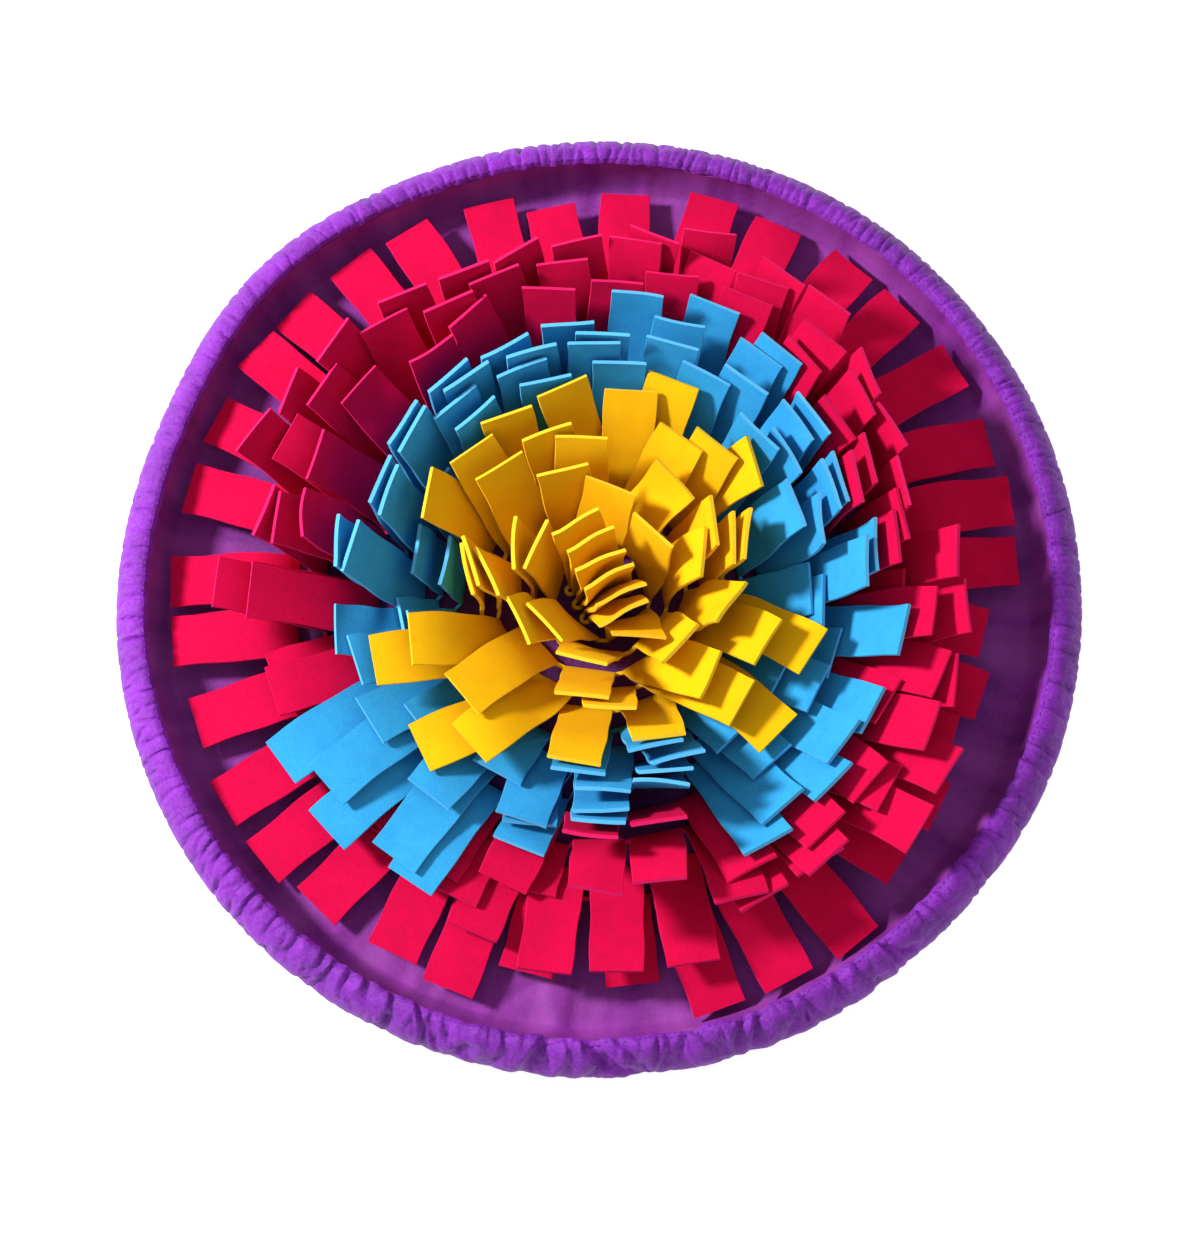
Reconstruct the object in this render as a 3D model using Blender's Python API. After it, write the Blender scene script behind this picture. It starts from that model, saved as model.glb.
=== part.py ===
"""Snuffle mat: a shallow round cloth tray with a gathered casing round its edge, which carries
concentric rows of felt tabs, crimson outside, then blue, then yellow. Treats are dropped between the tabs.

Each row of tabs is one long felt band, cut like a comb and sewn down by its uncut edge.
Lengths are in millimetres and angles in degrees until a mesh is made. +Z is up, and the origin
is where the middle of the tray's underside rests on the floor. Azimuths run from +X towards +Y.
"""

import math
import random

import bmesh
import bpy
from mathutils import Matrix, Vector
from mathutils.bvhtree import BVHTree

MM = 0.001
UP = Vector((0.0, 0.0, 1.0))

# ---- Driving dimensions -----------------------------------------------------------------------

MAT_RADIUS = 230.0          # middle of the mat to the outside of its gathered casing
CLOTH = 2.5                 # thickness of the tray's cloth
FLOOR_RADIUS = 205.0        # where the flat floor of the tray starts to turn up
WALL_TOP_RADIUS = 213.0
WALL_TOP = 24.5             # height of the wall's upper edge
SEAM_GAP = 0.3              # between two pieces that lie against each other

TAB_WIDTH = 24.5
FELT = 2.2                  # thickness of the felt
BAND_HEIGHT = 3.2           # uncut edge of a felt band, which holds its tabs together
TAB_CLEARANCE = 0.5         # air kept on each face of a tab when it is laid among the others

BAND_BASE = CLOTH + SEAM_GAP
TAB_ROOT = BAND_BASE + BAND_HEIGHT

# ---- Tables -----------------------------------------------------------------------------------

# How far the edge of the mat stands outside (+) or inside (-) of a true circle.
EDGE_WOBBLE = (
    # azimuth, offset
    (0, 0.0), (30, 0.5), (55, 1.5), (90, 0.5), (110, 1.0), (135, 5.0), (160, 0.0), (190, 2.0),
    (225, 2.0), (250, 1.0), (285, -1.0), (315, -2.5), (340, 0.0),
)

# Outline of the casing's section, inner lip first, over the crest and down the outside.
CASING_OUTLINE = (
    # radius, height, share of the gathers' depth
    (213.0, 26.2, 0.1), (214.8, 28.6, 0.8), (219.4, 28.2, 1.0), (224.6, 23.2, 1.0),
    (228.6, 16.2, 0.9), (229.6, 9.6, 0.7), (226.4, 6.8, 0.5), (219.8, 11.6, 0.3),
    (217.6, 21.4, 0.1),
)
CASING_MIDDLE = (221.5, 17.5)
CASING_COLUMNS = 160
SHARP_ANGLE = 50.0
PUCKER_DEPTH = (0.1, 2.0)

# Tip radius of each row of tabs round the mat.
TIP_COLUMNS = ("crimson_2", "crimson_3", "crimson_4", "blue_1", "blue_2", "blue_3", "blue_4",
               "yellow_1", "yellow_2", "yellow_3", "yellow_4", "yellow_5")
TIP_RADII = (
    # azimuth, then one value for each of TIP_COLUMNS
    (0, 134, 126, 118, 108, 102, 97, 91, 66, 60, 52, 42, 30),
    (15, 134, 126, 116, 107, 101, 96, 90, 78, 75, 72, 68, 34),
    (30, 150, 142, 126, 113, 107, 102, 96, 80, 77, 74, 70, 34),
    (45, 160, 152, 140, 130, 122, 104, 94, 82, 78, 62, 48, 32),
    (60, 165, 157, 148, 138, 130, 112, 100, 90, 80, 76, 72, 34),
    (75, 167, 158, 147, 135, 122, 111, 104, 97, 90, 84, 62, 32),
    (90, 155, 145, 132, 107, 101, 96, 90, 89, 84, 78, 52, 28),
    (105, 155, 145, 133, 101, 95, 90, 84, 76, 63, 60, 46, 26),
    (120, 150, 142, 128, 96, 90, 85, 79, 72, 62, 57, 42, 24),
    (135, 162, 152, 130, 98, 92, 87, 81, 83, 70, 66, 44, 22),
    (150, 173, 162, 148, 107, 103, 80, 72, 66, 57, 48, 38, 20),
    (165, 168, 158, 140, 102, 98, 76, 70, 62, 54, 46, 36, 20),
    (175, 153, 147, 134, 110, 106, 82, 73, 63, 55, 47, 37, 21),
    (186, 168, 158, 146, 119, 113, 108, 102, 100, 80, 60, 42, 24),
    (195, 184, 174, 165, 130, 124, 119, 113, 110, 96, 84, 48, 26),
    (203, 188, 178, 168, 132, 126, 120, 112, 115, 103, 88, 52, 28),
    (210, 194, 184, 174, 173, 156, 134, 122, 115, 103, 88, 52, 28),
    (225, 195, 185, 175, 176, 166, 146, 128, 119, 106, 78, 50, 28),
    (240, 193, 182, 172, 172, 158, 132, 112, 98, 84, 66, 48, 28),
    (255, 146, 122, 114, 110, 104, 99, 93, 80, 74, 67, 44, 28),
    (270, 150, 122, 106, 100, 94, 89, 83, 76, 72, 68, 44, 30),
    (285, 150, 124, 110, 95, 89, 84, 78, 74, 70, 66, 46, 30),
    (300, 171, 163, 154, 142, 132, 120, 106, 94, 80, 68, 50, 32),
    (315, 174, 165, 154, 141, 132, 122, 112, 101, 88, 70, 54, 34),
    (330, 166, 158, 146, 137, 130, 120, 110, 101, 86, 70, 60, 34),
    (345, 158, 146, 132, 120, 114, 106, 90, 74, 66, 60, 56, 34),
)

# The outer crimson tabs rise a little from their roots, then lie out over the tray's floor.
LYING_TABS = (
    # azimuth of the root, tip radius, skew, lean at the root, lean at the tip
    (4.0, 200, 0, 42, 97), (14.0, 202, -8, 34, 94), (24.0, 203, -12, 44, 97), (34.0, 206, -5, 40, 95),
    (44.0, 206, 0, 36, 97), (54.0, 207, -5, 44, 96), (64.4, 206, 1, 40, 98), (74.4, 207, -1, 36, 95),
    (86.3, 203, 1, 42, 97), (96.3, 197, 5, 38, 96), (106.3, 205, -2, 44, 97), (116.3, 206, 7, 36, 95),
    (126.3, 207, 2, 42, 98), (136.3, 207, 3, 40, 96), (146.3, 207, -7, 36, 93), (156.3, 206, -3, 44, 97),
    (166.3, 205, -2, 38, 96), (178.1, 206, 4, 42, 98), (188.1, 205, -3, 36, 95), (198.9, 202, 0, 42, 97),
    (209.7, 205, 3, 56, 95), (219.7, 205, 0, 62, 95), (229.7, 201, -4, 62, 95), (239.8, 198, 5, 62, 95),
    (249.8, 202, -1, 54, 95), (259.8, 185, -4, 60, 92), (274.0, 188, 3, 52, 92), (284.0, 206, 6, 42, 97),
    (294.0, 205, 4, 38, 95), (304.0, 206, 5, 42, 96), (314.0, 192, 12, 30, 84), (324.0, 190, 9, 26, 80),
    (334.0, 181, 9, 24, 78), (344.0, 187, -4, 30, 84), (354.0, 183, -9, 28, 82),
)

ROWS = (
    # name, root radius, tabs, length, share of the lobe's push, first azimuth
    ("yellow_5", 20.5, 5, 58.0, 0.0, 20.0),
    ("yellow_4", 30.0, 7, 60.0, 0.0, 9.0),
    ("yellow_3", 39.0, 9, 62.0, 0.0, 22.0),
    ("yellow_2", 48.0, 11, 64.0, 0.15, 12.6),
    ("yellow_1", 57.0, 13, 66.0, 0.3, 14.0),
    ("blue_4", 66.5, 16, 66.0, 0.5, 17.0),
    ("blue_3", 76.0, 18, 68.0, 0.75, 12.0),
    ("blue_2", 85.5, 20, 70.0, 0.9, 0.0),
    ("blue_1", 95.0, 23, 70.0, 1.0, 4.0),
    ("crimson_4", 107.5, 26, 68.0, 0.8, 5.0),
    ("crimson_3", 120.5, 29, 68.0, 0.55, 9.0),
    ("crimson_2", 133.5, 32, 68.0, 0.35, 3.0),
)

# Tabs that are laid differently from their row: turned, curled, or pressed flat over their neighbours.
PLACED = (
    # row, azimuth of the root, azimuth of the tip, tip radius, bend, roll, share of the row's length
    ("yellow_5", 20.0, 34.0, 28, 15, 20, 1.0),
    ("yellow_5", 92.0, 72.0, 36, 35, 8, 1.0),
    ("yellow_5", 164.0, 164.0, 31, 4, 8, 1.0),
    ("yellow_5", 236.0, 226.0, 38, 35, -10, 1.0),
    ("yellow_5", 308.0, 296.0, 38, 30, 14, 1.0),
    ("yellow_4", 9.0, 4.0, 42, 25, 12, 1.0),
    ("yellow_4", 60.4, 48.0, 52, 20, -6, 1.0),
    ("yellow_4", 111.9, 112.0, 46, 14, 8, 1.0),
    ("yellow_4", 163.3, 174.0, 40, 6, 8, 1.0),
    ("yellow_4", 214.7, 216.0, 46, 35, 14, 1.0),
    ("yellow_4", 266.1, 258.0, 46, 25, -12, 1.0),
    ("yellow_4", 317.6, 313.0, 52, 25, -14, 1.0),
    ("yellow_3", 22.0, 20.0, 56, 12, 8, 1.0),
    ("yellow_3", 62.0, 58.0, 72, 20, 0, 1.0),
    ("yellow_3", 102.0, 98.0, 60, 12, 0, 1.0),
    ("yellow_3", 142.0, 134.0, 66, 20, 4, 1.0),
    ("yellow_3", 182.0, 186.0, 52, 10, -8, 1.0),
    ("yellow_3", 222.0, 222.0, 86, 45, 4, 1.0),
    ("yellow_3", 262.0, 262.0, 63, 6, -3, 1.0),
    ("yellow_3", 302.0, 316.0, 70, 30, -8, 1.0),
    ("yellow_3", 342.0, 343.0, 62, 20, 14, 1.0),
    ("yellow_2", 12.6, 10.0, 62, 8, 0, 0.95),
    ("yellow_2", 45.3, 47.0, 74, 16, 0, 1.0),
    ("yellow_2", 78.1, 81.0, 86, 25, 0, 1.0),
    ("yellow_2", 110.8, 112.0, 62, 8, 6, 0.95),
    ("yellow_2", 143.5, 136.0, 82, 25, 0, 1.0),
    ("yellow_2", 176.3, 180.0, 55, 4, 5, 1.0),
    ("yellow_2", 209.0, 199.0, 92, 45, 4, 1.0),
    ("yellow_2", 241.7, 231.0, 100, 50, 0, 1.0),
    ("yellow_2", 274.5, 273.0, 68, 3, 2, 1.0),
    ("yellow_2", 307.2, 317.0, 90, 50, -6, 1.0),
    ("yellow_2", 339.9, 334.0, 84, 40, 4, 1.0),
    ("yellow_1", 14.0, 10.0, 68, 6, 0, 0.95),
    ("yellow_1", 41.7, 34.0, 78, 12, 0, 1.0),
    ("yellow_1", 69.4, 69.0, 96, 30, 0, 1.0),
    ("yellow_1", 97.1, 91.0, 86, 20, 0, 1.0),
    ("yellow_1", 124.8, 122.0, 74, 6, 4, 0.95),
    ("yellow_1", 152.5, 140.0, 84, 20, 0, 1.0),
    ("yellow_1", 180.2, 179.0, 60, 4, 4, 0.75),
    ("yellow_1", 207.8, 200.0, 113, 45, 0, 1.0),
    ("yellow_1", 235.5, 221.0, 116, 45, 0, 1.0),
    ("yellow_1", 263.2, 262.0, 74, 4, -3, 1.0),
    ("yellow_1", 290.9, 288.0, 75, 3, 2, 1.0),
    ("yellow_1", 318.6, 317.0, 111, 50, 0, 1.0),
    ("yellow_1", 346.3, 337.0, 105, 50, 0, 1.0),
    ("blue_4", 152.0, 152.0, 74, 4, 0, 0.5),
    ("blue_4", 174.5, 174.0, 74, 4, 0, 0.5),
    ("blue_4", 197.0, 197.0, 92, 10, 0, 0.5),
    ("blue_4", 219.5, 219.0, 104, 20, 0, 0.62),
    ("blue_4", 242.0, 242.0, 98, 30, 0, 0.55),
    ("blue_4", 264.5, 264.0, 83, -2, 0, 0.98),
    ("blue_4", 287.0, 286.0, 82, -4, 0, 0.98),
    ("blue_4", 309.5, 310.0, 96, 20, 0, 0.62),
    ("blue_4", 332.0, 332.0, 96, 20, 0, 0.6),
    ("blue_4", 354.5, 356.0, 84, 0, 0, 0.7),
    ("blue_3", 152.0, 152.0, 88, 6, 0, 0.55),
    ("blue_3", 172.0, 172.0, 88, 6, 0, 0.55),
    ("blue_3", 192.0, 192.0, 94, 4, 0, 0.42),
    ("blue_3", 212.0, 212.0, 124, 25, 0, 0.7),
    ("blue_3", 232.0, 232.0, 128, 25, 0, 0.74),
    ("blue_3", 252.0, 252.0, 96, 10, 0, 0.8),
    ("blue_3", 272.0, 271.0, 88, -6, 0, 1.0),
    ("blue_3", 292.0, 291.0, 88, -12, 0, 1.0),
    ("blue_3", 312.0, 312.0, 118, 25, 0, 0.75),
    ("blue_3", 332.0, 332.0, 114, 25, 0, 0.72),
    ("blue_3", 352.0, 353.0, 97, -4, 0, 0.75),
    ("blue_2", 144.0, 145.0, 101, -10, 0, 1.0),
    ("blue_2", 162.0, 162.0, 102, -10, 0, 1.0),
    ("blue_2", 180.0, 177.0, 104, -8, 0, 1.0),
    ("blue_2", 198.0, 198.0, 114, 8, 0, 0.5),
    ("blue_2", 342.0, 342.0, 110, 8, 0, 0.55),
    ("blue_2", 216.0, 218.0, 160, 45, 0, 1.0),
    ("blue_2", 234.0, 234.0, 162, 45, 0, 1.0),
    ("blue_2", 252.0, 253.0, 102, 0, 0, 0.95),
    ("blue_2", 270.0, 270.0, 92, -6, 0, 1.0),
    ("blue_2", 288.0, 287.0, 92, -12, 0, 1.0),
    ("blue_1", 144.9, 145.0, 106, -14, 0, 1.0),
    ("blue_1", 160.5, 160.0, 107, -14, 0, 1.0),
    ("blue_1", 176.2, 176.0, 111, -14, 0, 1.0),
    ("blue_1", 191.8, 190.0, 122, -8, 0, 1.0),
    ("blue_1", 207.5, 211.0, 172, 45, 0, 1.0),
    ("blue_1", 223.1, 223.0, 173, 45, 0, 1.0),
    ("blue_1", 238.8, 238.0, 170, 45, 0, 1.0),
    ("blue_1", 254.4, 254.0, 108, -6, 0, 1.0),
    ("blue_1", 270.1, 270.0, 97, -6, 0, 1.0),
    ("blue_1", 285.7, 285.0, 97, -10, 0, 1.0),
    ("crimson_4", 254.2, 252.0, 144, 55, 6, 1.0),
    ("crimson_4", 268.1, 268.0, 112, 12, 4, 1.0),
    ("crimson_4", 281.9, 282.0, 116, 12, 4, 1.0),
    ("crimson_3", 158.0, 157.0, 160, 60, 6, 1.0),
    ("crimson_3", 244.9, 245.0, 177, 8, 0, 0.7),
    ("crimson_3", 257.3, 257.0, 176, 8, 0, 0.8),
    ("crimson_3", 269.7, 269.0, 150, 50, -4, 1.0),
    ("crimson_3", 282.1, 280.0, 147, 50, -6, 1.0),
    ("crimson_3", 319.3, 323.0, 166, 50, 10, 1.0),
    ("crimson_2", 239.3, 239.0, 186, 8, 0, 0.7),
    ("crimson_2", 250.5, 250.0, 187, 8, 0, 0.75),
    ("crimson_2", 261.8, 262.0, 183, 8, 0, 0.8),
    ("crimson_2", 273.0, 272.0, 183, 8, 0, 0.8),
    ("crimson_2", 284.3, 283.0, 184, 8, 0, 0.82),
)

LOBE_AZIMUTH = 226.0        # side on which the blue rows bulge out over the crimson
LOBE_CORE = 16.0            # to each side of it the push is full
LOBE_SPREAD = 26.0          # and beyond that it dies away over this
LOBE_PUSH = 13.0
LOBE_CUT = 0.4              # share that the crimson tabs under the lobe are shorter
LOBE_CUT_ROWS = ("crimson_2", "crimson_3", "crimson_4")
TIP_JITTER = {"crimson": 3.0, "blue": 1.2, "yellow": 1.6}
SWING = {"crimson": 12.0, "blue": 3.0, "yellow": 15.0}          # most that a tab skews or rolls
BEND = {"crimson": (8.0, 30.0), "blue": (-24.0, -8.0), "yellow": (8.0, 20.0)}
LOBE_CALM = 1.0            # share of a tab's skew and roll that is lost where the lobe lies flat

CRIMSON_1_ROOT = 147.0
HEART_LENGTH = 60.0
HEART_FACING = 118.0        # azimuth that the tabs in the middle face, side by side like pages
HEART_SPACING = 3.9
FOLD_CLEAR = 0.5            # straight length of the folded band beyond its tabs, before each fold

# The tabs in the middle, on one band that is folded to and fro.
HEART_TABS = (
    # reach, skew, bend, roll
    (-16, -8, -10, -10), (-11, 6, -8, 8), (-6, -4, 8, -6), (0, 5, 12, 6), (6, -6, 10, -8), (13, 8, 12, 10),
)
LYING_BEND_END = 0.34       # share of a lying tab over which it bends down from its root

# ---- Small helpers ----------------------------------------------------------------------------


def around(azimuth):
    """Unit vector in plan that points along an azimuth."""
    a = math.radians(azimuth)
    return Vector((math.cos(a), math.sin(a), 0.0))


def turned(vector, degrees):
    return Matrix.Rotation(math.radians(degrees), 3, "Z") @ vector


def ease(share):
    """0 to 1, soft at both ends."""
    t = max(0.0, min(1.0, share))
    return t * t * (3.0 - 2.0 * t)


def table_at(table, azimuth, column):
    """A table's value at an azimuth, easing from each row to the next round the circle."""
    azimuth %= 360.0
    rows = [*table, (table[0][0] + 360.0, *table[0][1:])]
    for low, high in zip(rows, rows[1:]):
        if low[0] <= azimuth <= high[0]:
            share = ease((azimuth - low[0]) / (high[0] - low[0]))
            return low[column] + (high[column] - low[column]) * share
    raise ValueError(azimuth)


# ---- A tab's shape ----------------------------------------------------------------------------

STANDING_STATIONS = (0.0, 1.0 / 3.0, 2.0 / 3.0, 1.0)            # shares of the length that have a section
LYING_STATIONS = (0.0, 1.0 / 6.0, 1.0 / 3.0, 1.0)
FINE_STEPS = 24


class Tab:
    """One felt tab: where it is rooted, and how it leans, turns and bends.

    leans holds (share of the length, lean from upright) pairs, the first of them at the root.
    """

    def __init__(self, root, outward, length, leans, skew=0.0, roll=0.0, stations=STANDING_STATIONS):
        self.root = root
        self.outward = outward
        self.length = length
        self.leans = leans
        self.skew = skew
        self.roll = roll
        self.stations = stations

    def lean_at(self, share):
        for (low, a), (high, b) in zip(self.leans, self.leans[1:]):
            if share <= high:
                return a + (b - a) * (share - low) / (high - low)
        return self.leans[-1][1]

    def mean_reach(self):
        """Reach of the tip as a share of the length."""
        leans = [self.lean_at((i + 0.5) / FINE_STEPS) for i in range(FINE_STEPS)]
        return sum(math.sin(math.radians(a)) for a in leans) / FINE_STEPS

    def lean_to(self, reach):
        """Leans the whole tab so that its tip comes to the reach."""
        bent = [(share, lean - self.leans[0][1]) for share, lean in self.leans]
        low, high = -85.0, 100.0
        for _ in range(24):
            middle = (low + high) / 2.0
            self.leans = [(share, middle + bend) for share, bend in bent]
            if self.mean_reach() * self.length < reach:
                low = middle
            else:
                high = middle
        return self

    def frame_at(self, share):
        """(heading, across, outer) directions: which way it leans, its width's and its thickness's."""
        heading = turned(self.outward, self.skew * ease(share / 0.45))
        across = UP.cross(heading)
        lean = math.radians(self.lean_at(share)) if share > 0.0 else 0.0
        outer = heading * math.cos(lean) - UP * math.sin(lean)
        roll = math.radians(self.roll * share)
        return (heading, across * math.cos(roll) + outer * math.sin(roll),
                outer * math.cos(roll) - across * math.sin(roll))

    def centre_line(self):
        """Points along the middle of the tab, FINE_STEPS + 1 of them."""
        points = [self.root.copy()]
        for i in range(FINE_STEPS):
            share = (i + 0.5) / FINE_STEPS
            lean = math.radians(self.lean_at(share))
            heading = self.frame_at(share)[0]
            step = heading * math.sin(lean) + UP * math.cos(lean)
            points.append(points[-1] + step * (self.length / FINE_STEPS))
        return points

    def sections(self, grow_width=0.0, grow_thickness=0.0):
        """The four corners at each station: inner and outer at one side, outer and inner at the other."""
        line = self.centre_line()
        half_width = (TAB_WIDTH + grow_width) / 2.0
        half_felt = (FELT + grow_thickness) / 2.0
        found = []
        for share in self.stations:
            centre = line[round(share * FINE_STEPS)]
            _, across, outer = self.frame_at(share)
            found.append([
                centre - across * half_width - outer * half_felt,
                centre - across * half_width + outer * half_felt,
                centre + across * half_width + outer * half_felt,
                centre + across * half_width - outer * half_felt,
            ])
        return found


def skin_of(sections):
    """(points, faces) of a closed skin over a tab's sections."""
    points = [p for section in sections for p in section]
    faces = [(0, 1, 2, 3), tuple(len(points) - 1 - i for i in range(4))]
    for s in range(len(sections) - 1):
        for c in range(4):
            a, b = 4 * s + c, 4 * s + (c + 1) % 4
            faces.append((a, a + 4, b + 4, b))
    return points, faces


# ---- Laying tabs among one another ------------------------------------------------------------


class Pile:
    """The tabs laid so far. It tells whether one more has air all round it."""

    def __init__(self):
        self.laid = []

    def clear(self, tab):
        sections = tab.sections(0.5, 2.0 * TAB_CLEARANCE)
        points, faces = skin_of(sections)
        if min(p.z for p in points[4:]) < CLOTH + 1.0:
            return False
        if any(Vector((p.x, p.y)).length > wall_inside(p) - 1.0 for p in points[4:]):
            return False
        low, high = bounds_of(points)
        tree = None
        for other_low, other_high, other in self.laid:
            if any(low[k] > other_high[k] or high[k] < other_low[k] for k in range(3)):
                continue
            tree = tree or BVHTree.FromPolygons(points, faces)
            if tree.overlap(other):
                return False
        return True

    def lay(self, tab):
        points, faces = skin_of(tab.sections())
        self.laid.append((*bounds_of(points), BVHTree.FromPolygons(points, faces)))


def bounds_of(points):
    return (tuple(min(p[k] for p in points) for k in range(3)),
            tuple(max(p[k] for p in points) for k in range(3)))


def wall_inside(point):
    """Radius of the tray wall's inner face at a point's azimuth and height."""
    if point.z >= WALL_TOP:
        return MAT_RADIUS
    azimuth = math.degrees(math.atan2(point.y, point.x))
    rise = max(0.0, min(1.0, (point.z - CLOTH) / (WALL_TOP - CLOTH)))
    turn = (WALL_TOP_RADIUS - FLOOR_RADIUS) * math.sqrt(rise)
    return FLOOR_RADIUS + turn + table_at(EDGE_WOBBLE, azimuth, 1)


# What is tried until a tab lies clear: change of reach, shares kept of its turns and of its length.
REACH_TRIALS = (0, 1.5, -1.5, 3, -3, 5, -5, 7.5, -7.5, 10, -10, 14, -14, 18, -18, 23, -23, 30, -30, -40, -50, -60)
TURN_TRIALS = (1.0, 0.5, 0.0, -0.5, -1.0)
LENGTH_TRIALS = (1.0, 0.9, 0.8, 0.7, 0.6, 0.5, 0.4)


def trial_cost(trial):
    """How far a trial is from what was wished, in millimetres of reach."""
    reach_change, turn, length_share = trial
    return abs(reach_change) + 5.0 * (1.0 - turn) + 60.0 * (1.0 - length_share)


TRIALS = sorted(((r, t, s) for r in REACH_TRIALS for t in TURN_TRIALS for s in LENGTH_TRIALS),
                key=trial_cost)


def lay_clear(pile, make_tab):
    """Lays the tab that make_tab(reach change, turn share, length share) gives, nearest its wish.

    It gives None where a tab pressed flat leaves no room for another.
    """
    for trial in TRIALS:
        tab = make_tab(*trial)
        if pile.clear(tab):
            pile.lay(tab)
            return tab
    return None


def lobe(azimuth):
    """0 to 1: how much the lobe pushes a row's root outwards at an azimuth."""
    away = abs((azimuth - LOBE_AZIMUTH + 180.0) % 360.0 - 180.0)
    return 1.0 - ease((away - LOBE_CORE) / LOBE_SPREAD)


def aimed(root, outward, tip_azimuth, tip_radius):
    """(reach, skew) that bring a tab's tip from its root to a place in plan."""
    away = around(tip_azimuth) * tip_radius - Vector((root.x, root.y, 0.0))
    side = UP.cross(outward).dot(away)
    ahead = outward.dot(away)
    skew = math.degrees(math.atan2(side, ahead))
    return (away.length, skew) if ahead > 0.0 else (-away.length, skew - math.copysign(180.0, skew))


def row_tabs(pile, row, dice):
    """The tabs of one row, whose tips follow TIP_RADII but for those in PLACED."""
    name, root_radius, count, length, push, first = row
    column = 1 + TIP_COLUMNS.index(name)
    tabs = []
    for i in range(count):
        azimuth = first + 360.0 * i / count
        pushed = lobe(azimuth)
        radius = root_radius + LOBE_PUSH * push * pushed
        outward = around(azimuth)
        root = outward * radius + UP * TAB_ROOT
        tab_length = length * dice.uniform(0.95, 1.05)
        if name in LOBE_CUT_ROWS:
            tab_length *= 1.0 - LOBE_CUT * pushed
        colour = name.split("_")[0]
        jitter = TIP_JITTER[colour] * ((-1) ** i + dice.uniform(-1.0, 1.0))
        reach = table_at(TIP_RADII, azimuth, column) + jitter - radius
        calm = 1.0 - LOBE_CALM * pushed
        swing = SWING[colour]
        skew, roll = (dice.uniform(-swing, swing) * calm for _ in range(2))
        bend = dice.uniform(*BEND[colour]) * (1.0 if reach > 0.0 else 0.5)
        for placed_row, placed_azimuth, tip_azimuth, tip_radius, *wish in PLACED:
            away = (azimuth - placed_azimuth + 180.0) % 360.0 - 180.0
            if placed_row == name and abs(away) < 90.0 / count:
                reach, skew = aimed(root, outward, tip_azimuth, tip_radius)
                bend, roll, tab_length = wish[0], wish[1], wish[2] * length

        def make_tab(change, turn, length_share):
            cut_to = tab_length * length_share
            made = Tab(root, outward, cut_to, ((0.0, 0.0), (1.0, bend)), skew * turn, roll * turn)
            return made.lean_to(min(reach + change, 0.93 * cut_to))

        tabs.append(lay_clear(pile, make_tab))
    return [tab for tab in tabs if tab]


def lying_row(pile):
    """The outer row: each tab rises a little from its root, then lies out flat."""
    tabs = []
    for azimuth, tip, skew, root_lean, tip_lean in LYING_TABS:
        outward = around(azimuth)
        root = outward * CRIMSON_1_ROOT + UP * TAB_ROOT
        bent = tip_lean - 8.0

        def make_tab(change, turn, length_share):
            leans = ((0.0, root_lean), (LYING_BEND_END, bent), (1.0, tip_lean))
            made = Tab(root, outward, 1.0, leans, skew * turn, 0.0, LYING_STATIONS)
            made.length = (tip - CRIMSON_1_ROOT + change) * length_share / made.mean_reach()
            return made

        tabs.append(lay_clear(pile, make_tab))
    return tabs


# ---- Meshes -----------------------------------------------------------------------------------


def material(name, colour, roughness):
    made = bpy.data.materials.new(name)
    made.use_nodes = True
    shader = made.node_tree.nodes["Principled BSDF"]
    shader.inputs["Base Color"].default_value = (*colour, 1.0)
    shader.inputs["Roughness"].default_value = roughness
    made.diffuse_color = (*colour, 1.0)
    return made


def node_from(name, points, faces, its_material):
    """A mesh object from points in millimetres, with its faces turned outwards."""
    mesh = bpy.data.meshes.new(name)
    mesh.from_pydata([p * MM for p in points], [], faces)
    shaping = bmesh.new()
    shaping.from_mesh(mesh)
    bmesh.ops.recalc_face_normals(shaping, faces=shaping.faces)
    shaping.to_mesh(mesh)
    shaping.free()
    mesh.materials.append(its_material)
    made = bpy.data.objects.new(name, mesh)
    bpy.context.collection.objects.link(made)
    return made


def shade_round(node):
    """Smooth shading on a round piece, with its sharp edges kept."""
    node.data.shade_smooth()
    node.data.set_sharp_from_angle(angle=math.radians(SHARP_ANGLE))
    return node


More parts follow.
